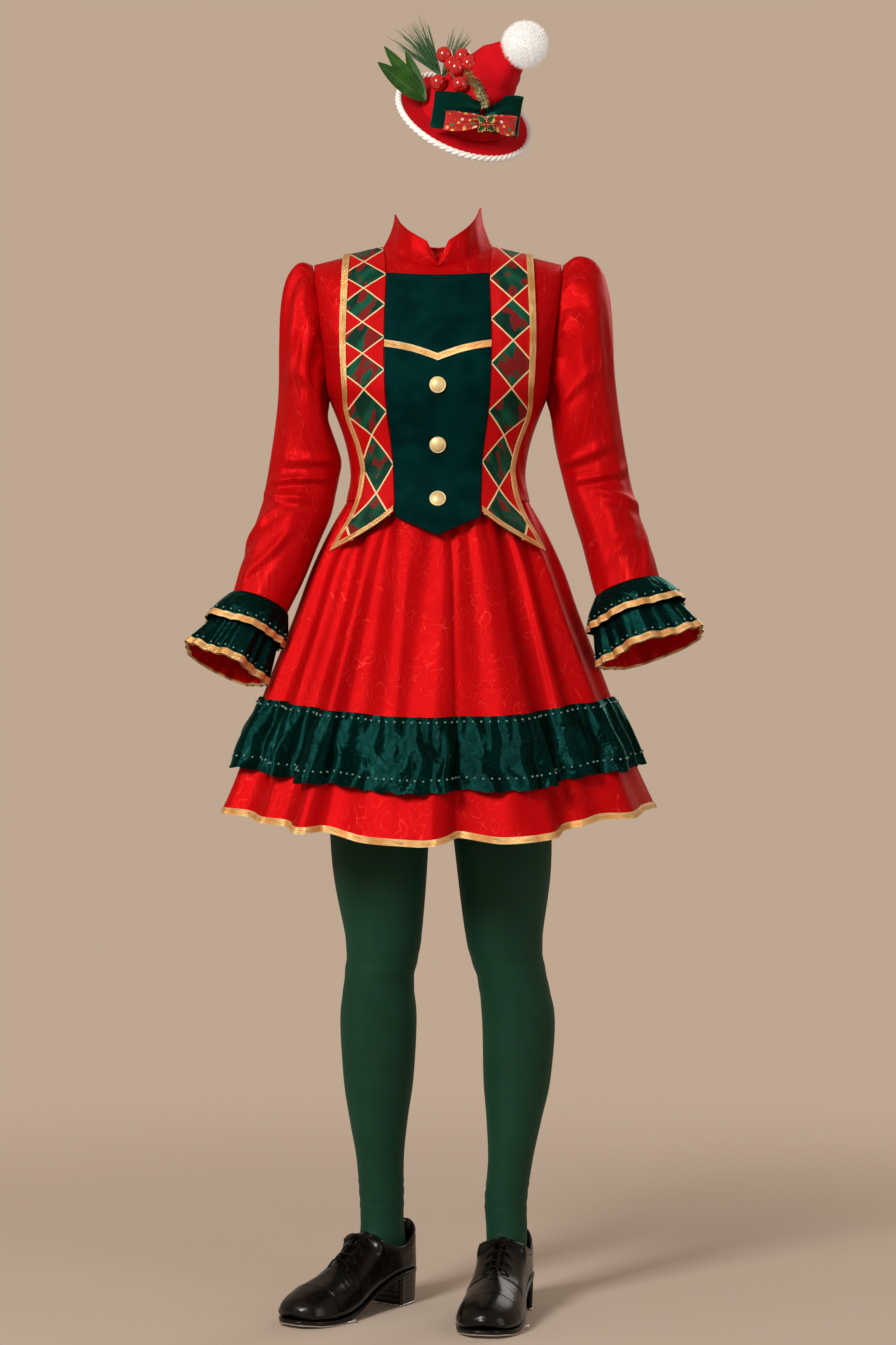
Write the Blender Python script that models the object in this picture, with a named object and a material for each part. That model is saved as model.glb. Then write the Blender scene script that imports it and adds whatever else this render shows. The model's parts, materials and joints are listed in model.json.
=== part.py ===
"""Tap dance costume: dress, tights, tap shoes and hat, hollow, in the pose in which they are worn.

Metres, +Z up, the front faces -Y. The origin is at shoulder height, where the wearer carries the dress.
The tables are in millimetres: heights are above the floor, half widths and depths from the middle.
"""

import math

import bmesh
import bpy
import numpy as np
from mathutils import Matrix, Vector

MM = 0.001
SHOULDER_HEIGHT = 1400.0

# Walls and the gaps at their seams
GAP = 0.4
CLOTH = 2.0
SLEEVE_CLOTH = 1.6
VELVET = 1.6
RIBBON = 1.0
RIBBON_WIDTH = 9.0
KNIT = 1.2
LEATHER = 2.5
FELT = 2.5
BINDING_LIFT = 1.5 * GAP
SMOOTH_ANGLE = 40

# Colour, roughness, metallic and sheen of each finish
FINISHES = {
    "red_satin": ((0.52, 0.012, 0.02), 0.38, 0.0, 0.2),
    "green_velvet": ((0.008, 0.05, 0.018), 0.8, 0.0, 0.6),
    "harlequin_print": ((0.05, 0.12, 0.05), 0.5, 0.0, 0.1),
    "green_satin": ((0.01, 0.12, 0.05), 0.28, 0.0, 0.2),
    "gold_ribbon": ((0.75, 0.5, 0.12), 0.3, 0.6, 0.0),
    "gold_metal": ((0.9, 0.62, 0.18), 0.2, 1.0, 0.0),
    "tights_knit": ((0.01, 0.06, 0.03), 0.6, 0.0, 0.3),
    "black_leather": ((0.012, 0.01, 0.01), 0.25, 0.0, 0.0),
    "sole_leather": ((0.05, 0.025, 0.015), 0.5, 0.0, 0.0),
    "tap_metal": ((0.75, 0.75, 0.76), 0.25, 1.0, 0.0),
    "lace_cord": ((0.012, 0.012, 0.012), 0.7, 0.0, 0.0),
    "red_felt": ((0.45, 0.01, 0.015), 0.85, 0.0, 0.5),
    "white_braid": ((0.85, 0.82, 0.74), 0.7, 0.0, 0.2),
    "white_pile": ((0.9, 0.88, 0.84), 0.9, 0.0, 0.6),
    "berry_red": ((0.55, 0.01, 0.01), 0.15, 0.0, 0.0),
    "leaf_green": ((0.03, 0.16, 0.03), 0.5, 0.0, 0.0),
}


def table(names, *lines):
    """The named columns of a short table."""
    return dict(zip(names.split(), np.array(lines, float).T))


# Torso: the front and back depths are at the middle; above the armpit the half width is the armhole's
TORSO = table(
    "height half_width front back",
    (1080, 121, 97, 85),
    (1115, 115, 92, 80),
    (1136, 117, 95, 82),
    (1163, 123, 102, 87),
    (1204, 138, 116, 95),
    (1216, 143, 119, 97),
    (1258, 148, 115, 100),
    (1300, 153, 104, 102),
    (1340, 158, 88, 98),
    (1379, 163, 66, 84),
)
ARMPIT = 1216.0
ARMHOLE_HALF_HEIGHT = 90.0
ARMHOLE_DEPTH = {-1: 45.0, 1: 50.0}
FLATNESS = 0.9
YOKE = 1379.0
WAIST = 1080.0
BODICE_ROWS = (1080, 1101, 1124, 1151, 1184, 1216, 1258, 1300, 1340, 1379)
SLOPE_ROWS = (0.5, 1.0)
SLOPE_BULGE = 5.0

# Half widths of the plastron and of the harlequin panels' outer edges, seen from the front
EDGES = table(
    "height plastron harlequin",
    (1010, 55.5, 138),
    (1030, 55.5, 128),
    (1048, 55.5, 117),
    (1075, 55, 105),
    (1101, 56, 98.5),
    (1124, 56.5, 98),
    (1151, 59, 103.5),
    (1197, 65, 119),
    (1239, 68, 123),
    (1287, 69, 126),
    (1379, 67, 126),
)
PRINCESS_SEAM = {"waist": 58.0, "yoke": 70.0}

# Columns: 0 is the middle, 1 the plastron's edge, 2 the harlequin's outer edge, 3 the side or armhole
FRONT_COLUMNS = (0, 0.19, 0.47, 0.75, 1, 1.5, 2, 2.33, 2.67, 3)
BACK_COLUMNS = (0, 0.5, 0.83, 1, 2, 2.5, 3)

# Neckline, by column: front and back share the neck point and the shoulder line
NECK_POINT = (72.0, -8.0, 1418.0)
SHOULDER_TIP = (165.0, 0.0, 1396.0)
FRONT_SHOULDER_SHARES = (0, 0.57, 1)
FRONT_NECK = table(
    "column x y height",
    (0, 0, -61, 1386),
    (0.19, 14, -60, 1388),
    (0.47, 34, -54, 1396),
    (0.75, 54, -38, 1407),
    (1, 72, -8, 1418),
)
BACK_NECK = table(
    "column x y height",
    (0, 0, 58, 1409),
    (0.5, 38, 50, 1410),
    (0.83, 62, 26, 1414),
    (1, 72, -8, 1418),
)

# Collar: how far it rises above the neckline and leans out, by column
FRONT_COLLAR = table("column rise lean", (0, 6, 1), (0.19, 40, 5), (0.47, 43, 8), (0.75, 47, 8), (1, 50, 7))
BACK_COLLAR = table("column rise lean", (0, 30, 6), (0.5, 31, 6), (0.83, 36, 6), (1, 50, 7))
COLLAR_BULGE = 1.0

# Lower edges of the pieces that hang over the skirt, at the middle, plastron edge and outer edge
PLASTRON_POINT = 1029.0
PLASTRON_CORNER = 1054.0
HARLEQUIN_CORNER = 1061.0
HARLEQUIN_TIP = 1010.0
TRIM_AT_EDGE = 1287.0
TRIM_AT_MIDDLE = 1264.0
TRIM_ARCH = 7.0
BUTTON_HEIGHTS = (1226.0, 1151.0, 1077.0)
BUTTON_RADIUS = 10.8
BUTTON_DEPTH = 5.0
BUTTON_SEAT = 0.9
BUTTON_COLUMNS = 12
BUTTON_PROFILE = ((0, 0), (0.75, 0), (1, 0.25), (0.8, 0.75), (0, 1))
HANG_CLEARANCE = 3.0

# Shares by which a harlequin panel is drawn in at its inner seam and at the shoulder seam
PANEL_INSET = {"seam": 0.02, "shoulder": 0.03}

# Skirt: height at the side seam, size, and the depth of its gathers and broad folds
SKIRT = table(
    "height half_width front back gather fold",
    (671, 288, 236, 226, 3, 9),
    (733, 262, 214, 206, 4, 7),
    (776, 248, 200, 194, 4.5, 5.5),
    (820, 231, 186, 180, 5, 4),
    (930, 186, 154, 150, 5, 1.5),
    (1000, 160, 131, 130, 4, 0),
    (1050, 137, 112, 106, 2, 0),
    (1080, 121, 97, 85, 0, 0),
)
SKIRT_ROWS = (671, 733, 776, 820, 930, 1000, 1050, 1080)
HEM = 671.0
RUFFLE_ROWS = slice(1, 4)
HEM_DIP = {-1: 41.0, 1: 25.0}
HALF_SKIRT_COLUMNS = 38
GATHERS = 19
FOLDS = 11
FOLD_PHASE = 0.7
UNEVENNESS = 0.05
UNEVEN_PHASE = 0.6
RUFFLE_STAND = (8.0, 5.0, 0.0)
RUFFLE_WAVE = (6.0, 4.0, 0.0)
RUFFLE_PERIOD = 4

# Sleeves: each ring by its outer and inner point in the front view, its middle and half depth,
# and the angle at which its front edge is raised
RING = "outer_x outer_h inner_x inner_h middle half_depth pitch"
SLEEVES = {
    "left": table(
        RING,
        (168.4, 1396, 147.0, 1216, 2.5, 47.5, 0),
        (183, 1399, 150, 1206, 2, 56, 0),
        (196, 1380, 151, 1195, 2, 60, 0),
        (204, 1345, 149, 1184, 1, 59, 0),
        (208, 1297, 144, 1171, 0, 56, 0),
        (211, 1235, 137, 1152, 0, 52, 0),
        (217, 1175, 132, 1133, 2, 48, 2),
        (223, 1130, 135, 1112, 3, 46, 4),
        (229, 1098, 139, 1092, 2, 45, 7),
        (237, 1068, 145, 1064, -6, 45, 12),
        (250, 1029, 160, 1027, -18, 45, 16),
        (262, 988, 180, 976, -32, 42, 18),
        (270, 955, 202, 931, -45, 36, 18),
    ),
    "right": table(
        RING,
        (168.4, 1396, 147.0, 1216, 2.5, 47.5, 0),
        (188, 1407, 151, 1206, 2, 56, 0),
        (212, 1398, 153, 1196, 2, 60, 0),
        (226, 1363, 154, 1187, 1, 60, 0),
        (232, 1310, 155, 1176, 0, 57, 0),
        (236, 1243, 157, 1161, 0, 52, 0),
        (243, 1185, 161, 1141, 2, 48, 2),
        (251, 1137, 167, 1118, 3, 46, 4),
        (257, 1103, 172, 1097, 2, 45, 7),
        (265, 1073, 179, 1070, -6, 45, 12),
        (277, 1029, 192, 1029, -18, 45, 16),
        (287, 999, 203, 987, -31, 42, 18),
        (293, 974, 212, 951, -45, 36, 18),
    ),
}
SLEEVE_COLUMNS = 20
SLEEVE_PLEAT = (0.0, 3.0, 3.0, 2.0, 1.0)
SIDE = {"left": -1, "right": 1}

# Cuff ruffles: the seam, the edge of the upper ruffle and the edge of the lower one
CUFF_ROWS = "outer_x outer_h inner_x inner_h middle half_depth pitch wave"
CUFFS = {
    "left": table(
        CUFF_ROWS,
        (270, 954, 202, 930, -45.5, 36, 18, 0),
        (302, 914, 217, 887, -57, 45, 18, 3),
        (333, 882, 232, 838, -67, 52, 18, 6),
    ),
    "right": table(
        CUFF_ROWS,
        (293, 973, 212, 950, -45.5, 36, 18, 0),
        (322, 938, 211, 904, -57, 46, 18, 3),
        (351, 903, 218, 860, -67, 52, 18, 6),
    ),
}
CUFF_COLUMNS = 20
CUFF_WAVES = 5
CUFF_SEAM_DROP = 0.8
UPPER_RUFFLE_STAND = (GAP, 4.0)

# Tights: the part above the legs, then each leg down to the ankle
TIGHTS_TOP = table(
    "height half_width front back",
    (830, 150, 96, 104),
    (880, 154, 100, 112),
    (950, 145, 98, 106),
    (1010, 130, 97, 93),
    (1072, 123.7, 99.8, 89.4),
)
LEG = "height x y half_width half_depth"
LEGS = {
    "left": table(
        LEG,
        (145, -76, 32, 28.5, 33),
        (198, -78, 30, 30, 37),
        (252, -80, 27, 38, 44),
        (305, -80, 22, 46, 51),
        (386, -80, 14, 51, 54),
        (440, -79, 6, 46, 54),
        (493, -73, 2, 50, 57),
        (600, -78, 0, 64, 70),
        (770, -77.5, 2, 72, 88),
    ),
    "right": table(
        LEG,
        (145, 91, 2, 28.5, 33),
        (198, 97, 4, 30, 37),
        (252, 102, 8, 37, 44),
        (305, 106, 12, 45, 51),
        (386, 108, 10, 49, 54),
        (440, 100, 3, 47, 54),
        (493, 89, 0, 51, 57),
        (600, 88, 0, 64, 70),
        (770, 78, 2, 72, 88),
    ),
}
LEG_COLUMNS = 12
TIGHTS_TOP_COLUMNS = 20

# The leg turns with its foot from the first height down to the second
LEG_TURN = (800.0, 110.0)

# Shoes: where the heel stands, how far the toe turns to the viewer's left, and the upper's sections
SHOES = {
    "left": {"heel": (-45.0, 75.0), "turn": 36.0},
    "right": {"heel": (101.0, 52.0), "turn": 10.0},
}
UPPER = table(
    "along half_width bottom shoulder_v shoulder top_v top crest",
    (4, 20, 46, 18, 100, 8, 104, 105),
    (20, 30, 46, 28, 90, 14, 100, 104),
    (45, 34, 45.5, 32, 79, 16, 95, 102),
    (70, 34, 42, 32, 83, 14, 98, 104),
    (92, 33.5, 35.5, 30, 90, 9, 99, 103),
    (102, 33.5, 32, 28, 79, 8, 94, 98),
    (117, 34.5, 26.5, 28.5, 67, 8, 85, 89),
    (132, 36.5, 20.5, 30, 57.5, 7.5, 76, 80),
    (147, 39, 15.5, 32, 50, 7, 67, 70.5),
    (165, 41, 11, 33.5, 44, 12, 58, 60.5),
    (185, 42, 8, 34.5, 39, 16, 51, 53),
    (205, 40.5, 8, 33, 35, 16, 45.5, 47.5),
    (225, 35, 9, 28.5, 31, 13, 39, 41),
    (240, 25, 11, 20, 26, 8, 32, 33.5),
)
UPPER_BACK = (0.0, 104.0)
UPPER_TOE = (249.0, 20.0)
FEATHER = 0.8
FEATHER_RISE = 5.0
WALL_SHARE = 0.45
TOPLINE_END = 92
THROAT_END = 147
SOLE = 5.0
SOLE_EDGE = 2.0
SOLE_BACK = (-2.0, 9.0)
SOLE_TIP = (251.0, 12.0)
SOLE_TIP_RISE = 1.0
TAP = 2.2
HEEL_STATIONS = (-1.0, 4.0, 20.0, 45.0, 56.0)
HEEL_INSET = 1.0
TOE_TAP_STATIONS = (168.0, 185.0, 205.0, 225.0, 240.0, 249.0)
TOE_TAP_INSET = 0.5
TONGUE = table(
    "along rise half_width",
    (88, 11, 7),
    (91, 6, 7),
    (95, 1.5, 7),
    (102, 0, 10),
    (117, 0, 15),
    (132, 0, 15),
    (144, 0, 15),
)
TONGUE_DEPTH = 1.4
TONGUE_SLOPE = 0.7
TONGUE_THICKNESS = 1.8
LACE_RADIUS = 1.5
LACE_V = 12.0
LACE_ROWS = (102.0, 117.0, 132.0, 147.0)
LACE_LIFTS = {"side": 3.0, "slit": 2.8, "vamp": 2.4}

# Feet of the tights: the front and back points of each ring, along the shoe and up
FOOT = table(
    "front front_h back back_h half_width",
    (84, 112, 20, 110, 27.5),
    (87, 99, 15, 88, 27),
    (93, 89, 12, 66, 26),
    (103, 80, 20, 52.5, 26.5),
    (120, 69, 62, 48.5, 25),
    (140, 58, 108, 35, 27),
    (165, 48, 150, 18.5, 33),
    (195, 43, 190, 11.2, 34),
    (222, 34, 220, 12.5, 26),
)
FOOT_TIP = (236.0, 24.0)

# Hat: the middle of its brim, its own right and up directions, and the crown's sections
HAT_CENTRE = (37.0, -45.0, 1595.0)
HAT_RIGHT = (0.943, 0.299, -0.143)
HAT_UP = (0.31, -0.643, 0.70)
BRIM_RADIUS = 88.0
BRIM_DROOP = 6.0
BRIM_COLUMNS = 32
BRIM_MIDDLE = 45.0
PIPING_RADIUS = 3.6
PIPING_SIDES = 5
CROWN = table(
    "height x y radius",
    (-2.4, 0, 0, 62),
    (18, 1, -1, 56),
    (39, 4, -2, 49),
    (60, 10, -4, 40),
    (80, 18, -8, 29),
    (95, 26, -12, 17),
)
CROWN_TIP = (29.5, -13.8, 102.3)
CROWN_COLUMNS = 20
POMPOM_CENTRE = (36.6, -17.8, 128.4)
POMPOM_RADIUS = 33.0
POMPOM_CORE = 27.0
POMPOM_SEAT = 0.6
BOW_CENTRE = (4.0, -54.5, 31.0)
BOW_OUT = (0.0, -0.947, 0.32)
BOW_COLUMNS = 12
BOW_RIBBON = 1.2

# Bow loops: where each starts, its length to the viewer's right, stand, swell and ribbon width
BOWS = {
    "green_left": (-3, -64, -4.2, 8, 44),
    "green_right": (3, 48, -3.1, 8, 44),
    "red_left": (-2.5, -50, 12, 6, 28),
    "red_right": (2.5, 40, 13.2, 6, 28),
}
TO_VIEWER_RIGHT = (0.943, -0.119, 0.31)
TO_VIEWER_UP = (-0.143, 0.7, 0.7)
PLATE = 1.2
HOLLY_STAND = 26.6
HOLLY = {"points": 8, "inner": 11, "outer": 19}
LEAVES = {"points": 3, "inner": 22, "outer": 80, "spread": math.radians(70), "turn": math.radians(110)}
LEAVES_AT = (-62, -13, 12)
NEEDLES = {"points": 7, "inner": 20, "outer": 95, "spread": math.radians(60), "turn": math.radians(95)}
NEEDLES_AT = (-52.8, 13, 34)

# The stem point that closes a fan: its share of the inner radius and its turn from the first point
FAN_STEM = (0.35, -2.4)
BERRY_RADIUS = 10.7
BERRIES = table(
    "right back up",
    (-57, 10, 73),
    (-35, 4, 80),
    (-27, -9, 79),
    (-41, -9, 69),
    (-47, -4, 70),
    (-58, -11, 43),
    (-36, -31, 59),
)
BERRY_CORE = (-46.0, -12.0, 63.0)
BERRY_CORE_SIZE = (13.0, 17.0, 22.0)


def curve(keys, values, at):
    """A smooth line through the values at the keys, read at any places between them."""
    slopes = np.gradient(values, keys)
    at = np.clip(at, keys[0], keys[-1])
    first = np.clip(np.searchsorted(keys, at) - 1, 0, len(keys) - 2)
    span = keys[first + 1] - keys[first]
    t = (at - keys[first]) / span
    start = (2 * t**3 - 3 * t**2 + 1) * values[first] + (t**3 - 2 * t**2 + t) * span * slopes[first]
    end = (3 * t**2 - 2 * t**3) * values[first + 1] + (t**3 - t**2) * span * slopes[first + 1]
    return start + end


def read(source, name, at):
    """One named column of a table as a smooth function of its first column."""
    return curve(next(iter(source.values())), source[name], np.asarray(at, float))


def straight(source, name, at):
    """One named column of a table, read along straight lines."""
    return np.interp(at, next(iter(source.values())), source[name])


def material(finish):
    """The finish's own material, made once."""
    if finish in bpy.data.materials:
        return bpy.data.materials[finish]
    colour, roughness, metallic, sheen = FINISHES[finish]
    made = bpy.data.materials.new(finish)
    made.use_nodes = True
    shader = made.node_tree.nodes["Principled BSDF"]
    shader.inputs["Base Color"].default_value = (*colour, 1)
    shader.inputs["Roughness"].default_value = roughness
    shader.inputs["Metallic"].default_value = metallic
    shader.inputs["Sheen Weight"].default_value = sheen
    return made


def place(name, mesh, finish):
    """A named object in the scene, shaded smooth but for its sharp edges."""
    mesh.materials.append(material(finish))
    mesh.shade_smooth()
    mesh.set_sharp_from_angle(angle=math.radians(SMOOTH_ANGLE))
    made = bpy.data.objects.new(name, mesh)
    bpy.context.scene.collection.objects.link(made)
    return made


def solid(name, points, triangles, finish):
    """An object from points in millimetres above the floor, its faces turned outward."""
    points = (np.asarray(points, float) - (0, 0, SHOULDER_HEIGHT)) * MM
    triangles = np.array(triangles)
    used, triangles = np.unique(triangles, return_inverse=True)
    points = points[used]
    triangles = triangles.reshape(-1, 3)
    centred = points - points.mean(axis=0)
    if np.linalg.det(centred[triangles]).sum() < 0:
        triangles = triangles[:, ::-1]
    mesh = bpy.data.meshes.new(name)
    mesh.from_pydata(points.tolist(), [], triangles.tolist())
    place(name, mesh, finish)


def wall(name, outer, inner, finish, closed=False, keep=None, poles=(False, False), flip=None):
    """One closed solid between two grids of rows by columns, which may be closed round.

    A pole joins the first or last row in one point. Keep says which squares stay and flip which ones
    are split along their other diagonal, both by row and column.
    """
    rows, columns = outer.shape[:2]
    index = np.arange(rows * columns).reshape(rows, columns)
    if poles[0]:
        index[0] = index[0, 0]
    if poles[1]:
        index[-1] = index[-1, 0]
    faces = []
    for i in range(rows - 1):
        for j in range(columns if closed else columns - 1):
            if keep is not None and not keep(i, j):
                continue
            k = (j + 1) % columns
            a, b, c, d = index[i, j], index[i, k], index[i + 1, k], index[i + 1, j]
            if flip is not None and flip(i, j):
                a, b, c, d = b, c, d, a
            faces += [face for face in ((a, b, c), (a, c, d)) if len(set(face)) == 3]
    sides = {(face[n], face[(n + 1) % 3]) for face in faces for n in range(3)}
    rim = [(a, b) for a, b in sides if (b, a) not in sides]
    back = rows * columns
    triangles = faces + [(c + back, b + back, a + back) for a, b, c in faces]
    for a, b in sorted(rim):
        triangles += [(b, a, a + back), (b, a + back, b + back)]
    points = np.concatenate([outer.reshape(-1, 3), inner.reshape(-1, 3)])
    return solid(name, points, triangles, finish)


def outward(grid, axis, closed=False, level=False):
    """Unit normals of a grid on the side away from the axis points; level ones have no rise."""
    along = np.gradient(grid, axis=0)
    if closed:
        across = np.roll(grid, -1, axis=1) - np.roll(grid, 1, axis=1)
    else:
        across = np.gradient(grid, axis=1)
    normal = np.cross(along, across)
    if level:
        normal[..., 2] = 0
    normal /= np.linalg.norm(normal, axis=2, keepdims=True)
    return normal * np.sign(np.sum(normal * (grid - axis)))


def circle(count):
    """Points round a circle of radius 1."""
    turn = np.linspace(0, 2 * math.pi, count, endpoint=False)
    return np.stack([np.cos(turn), np.sin(turn)], axis=1)


def mirrored(columns):
    """The columns of both halves, from the viewer's left to the right."""
    return np.array([-c for c in reversed(columns[1:])] + list(columns))


def half_width_at(face, column, height):
    """Distance from the middle of a torso column, given as its number without sign."""
    edge = read(TORSO, "half_width", height)
    if face < 0:
        first = read(EDGES, "plastron", height)
        second = read(EDGES, "harlequin", height)
        turn_at = 2
    else:
        rise = (height - WAIST) / (YOKE - WAIST)
        first = PRINCESS_SEAM["waist"] + rise * (PRINCESS_SEAM["yoke"] - PRINCESS_SEAM["waist"])
        second = first
        turn_at = 1
    turned = np.arcsin(second / edge)
    share = np.clip((column - turn_at) / (3 - turn_at), 0, 1)
    outer = edge * np.sin(turned + share * (math.pi / 2 - turned))
    inner = first * np.minimum(column, 1) + (second - first) * np.clip(column - 1, 0, 1)
    return np.where(column <= turn_at, inner, outer)


def chest(face, columns, heights):
    """Points of the torso up to the yoke; face is -1 for the front and 1 for the back."""
    columns, heights = np.meshgrid(columns, heights)
    edge = read(TORSO, "half_width", heights)
    depth = read(TORSO, "front" if face < 0 else "back", heights)
    x = half_width_at(face, abs(columns), heights)
    rise = np.clip((ARMPIT + ARMHOLE_HALF_HEIGHT - heights) / ARMHOLE_HALF_HEIGHT, -1, 1)
    edge_depth = ARMHOLE_DEPTH[face] * np.sqrt(1 - rise**2)
    flatness = np.sqrt(np.clip(1 - (x / edge) ** 2, 0, 1)) ** FLATNESS
    y = face * (edge_depth + (depth - edge_depth) * flatness)
    return np.stack([np.sign(columns) * x, y, heights], axis=2)


def neckline(face, columns):
    """Points of the neckline and the shoulder seam, by column."""
    source = FRONT_NECK if face < 0 else BACK_NECK
    size = abs(columns)
    on_neck = [straight(source, name, size) for name in ("x", "y", "height")]
    share = np.clip((size - 1) / 2, 0, 1)
    if face < 0:
        share = np.interp(size, (1, 2, 3), FRONT_SHOULDER_SHARES)
    on_shoulder = [a + (b - a) * share for a, b in zip(NECK_POINT, SHOULDER_TIP)]
    x, y, height = [np.where(size <= 1, a, b) for a, b in zip(on_neck, on_shoulder)]
    return np.stack([np.sign(columns) * x, y, height], axis=1)


def torso_axis(grid):
    """Points inside the torso, level with the grid's."""
    axis = grid * (0, 0, 1)
    axis[..., 2] = np.minimum(axis[..., 2], YOKE - 40)
    return axis


def bodice_grid(face, columns):
    """The whole front or back from the waist to the neckline, a hair off the side seam."""
    body = chest(face, columns, np.array(BODICE_ROWS, float))
    top = neckline(face, columns)
    rows = [body]
    for share in SLOPE_ROWS:
        swell = SLOPE_BULGE * math.sin(math.pi * share) * np.minimum(abs(columns), 1)
        row = body[-1] + (top - body[-1]) * share
        row = row + swell[:, None] * np.array((0, face, 1)) / math.sqrt(2)
        rows.append(row[None])
    grid = np.concatenate(rows)
    grid[..., 1] += face * GAP
    grid[0, :, 2] += GAP
    return grid


def bodice(name, face, columns):
    grid = bodice_grid(face, mirrored(columns))
    normal = outward(grid, torso_axis(grid))
    middle = len(columns) - 1
    wall(name, grid + normal * CLOTH, grid, "red_satin", flip=lambda _, column: column >= middle)
    return grid


def skirt_size(height):
    return [read(SKIRT, name, height) for name in ("half_width", "front", "back", "gather", "fold")]


def skirt_grid(face, heights, columns=HALF_SKIRT_COLUMNS):
    """Half of the skirt, with its gathers and broad folds, and its hem lower in the middle."""
    turn = np.linspace(-math.pi / 2, math.pi / 2, columns + 1)
    turn, heights = np.meshgrid(turn, np.array(heights, float))
    uneven = turn + UNEVENNESS * np.cos(turn) * np.sin(2 * turn + UNEVEN_PHASE)
    half_width, front, back, gather, fold = skirt_size(heights)
    depth = front if face < 0 else back
    wave = gather * np.sin(GATHERS * turn) + fold * np.cos(FOLDS * turn + FOLD_PHASE)
    x = (half_width + wave) * np.sin(uneven)
    y = face * (depth + wave) * np.cos(uneven)
    drop = HEM_DIP[face] * (WAIST - heights) / (WAIST - HEM) * np.cos(turn) ** 2
    grid = np.stack([x, y + face * GAP, heights - drop], axis=2)
    grid[-1, :, 2] -= GAP
    return grid


def over_skirt(columns, ends, shares, seams):
    """Rows of a piece that hangs over the skirt's gathers, from its lower edge up to the waist."""
    rows = []
    for share in shares:
        heights = WAIST + (ends - WAIST) * share
        half_width, depth, _, gather, _ = skirt_size(heights)
        x = seams(abs(columns), heights)
        clear = gather + HANG_CLEARANCE * share
        y = -(depth + clear) * np.sqrt(1 - (x / (half_width + clear)) ** 2)
        rows.append(np.stack([np.sign(columns) * x, y - GAP, heights], axis=1))
    return np.array(rows)


def front_seams(columns, heights):
    """Half widths of the front columns below the waist, up to the harlequin's outer edge."""
    first = read(EDGES, "plastron", heights)
    second = read(EDGES, "harlequin", heights)
    return first * np.minimum(columns, 1) + (second - first) * np.clip(columns - 1, 0, 1)


def overlay(bodice_front, picked, columns, ends, rows):
    """The bodice's own points under a piece, with the rows that hang below the waist put first."""
    hanging = over_skirt(columns, ends, (1.0, 0.5), front_seams)
    grid = np.concatenate([hanging, bodice_front[rows, picked]])
    return grid, outward(grid, torso_axis(grid))


def step_from(grid, row, column, toward, length):
    """A point that lies a length away from a grid point, along the line to a neighbour."""
    here = grid[row, column]
    there = grid[toward]
    return here + (there - here) * length / np.linalg.norm(there - here)


def plastron(front):
    columns = mirrored(FRONT_COLUMNS)
    picked = np.flatnonzero(abs(columns) <= 1)
    size = abs(columns[picked])
    ends = PLASTRON_POINT + (PLASTRON_CORNER - PLASTRON_POINT) * size
    grid, normal = overlay(front, picked, columns[picked], ends, slice(0, len(BODICE_ROWS)))
    low = CLOTH + GAP
    wall(
        "plastron",
        grid + normal * (low + VELVET),
        grid + normal * low,
        "green_velvet",
        flip=lambda _, column: column >= len(size) // 2,
    )
    plastron_trim(grid, normal, size)
    buttons(grid, normal)


def between_rows(grid, normal, height_of):
    """Points and normals at given heights on each column of a grid."""
    points = []
    normals = []
    for column, height in enumerate(height_of):
        heights = grid[:, column, 2]
        points.append([np.interp(height, heights, grid[:, column, n]) for n in range(3)])
        normals.append([np.interp(height, heights, normal[:, column, n]) for n in range(3)])
    return np.array(points), np.array(normals)


def plastron_trim(grid, normal, size):
    """The gold band that arches twice across the plastron and meets in a point."""
    middle = TRIM_AT_MIDDLE + (TRIM_AT_EDGE - TRIM_AT_MIDDLE) * size + TRIM_ARCH * np.sin(math.pi * size)
    bands = [between_rows(grid, normal, middle + half) for half in (-RIBBON_WIDTH / 2, RIBBON_WIDTH / 2)]
    points = np.array([band[0] for band in bands])
    normals = np.array([band[1] for band in bands])
    low = CLOTH + VELVET + 2 * GAP
    wall("plastron_trim", points + normals * (low + RIBBON), points + normals * low, "gold_ribbon")


def buttons(grid, normal):
    """Domed metal buttons down the middle, each turned to face out of the plastron."""
    middle = grid.shape[1] // 2
    for number, height in enumerate(BUTTON_HEIGHTS, 1):
        point, out = between_rows(grid[:, middle : middle + 1], normal[:, middle : middle + 1], [height])
        seat = CLOTH + VELVET + 2 * GAP + BUTTON_SEAT
        turned = Vector(out[0]).to_track_quat("Z", "Y").to_matrix()
        rows = []
        for radius, rise in BUTTON_PROFILE:
            ring = BUTTON_RADIUS * radius * circle(BUTTON_COLUMNS)
            rows.append([turned @ Vector((x, y, BUTTON_DEPTH * rise)) for x, y in ring])
        shell = np.array(rows) + point[0] + out[0] * seat
        turned_solid(f"button_{number}", shell, "gold_metal")


def turned_solid(name, rings, finish):
    """A filled solid from rings whose first and last are points."""
    count, columns = rings.shape[:2]
    index = np.arange(count * columns).reshape(count, columns)
    index[0] = index[0, 0]
    index[-1] = index[-1, 0]
    faces = []
    for i in range(count - 1):
        for j in range(columns):
            k = (j + 1) % columns
            a, b, c, d = index[i, j], index[i, k], index[i + 1, k], index[i + 1, j]
            faces += [face for face in ((a, b, c), (a, c, d)) if len(set(face)) == 3]
    solid(name, rings.reshape(-1, 3), faces, finish)


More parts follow.
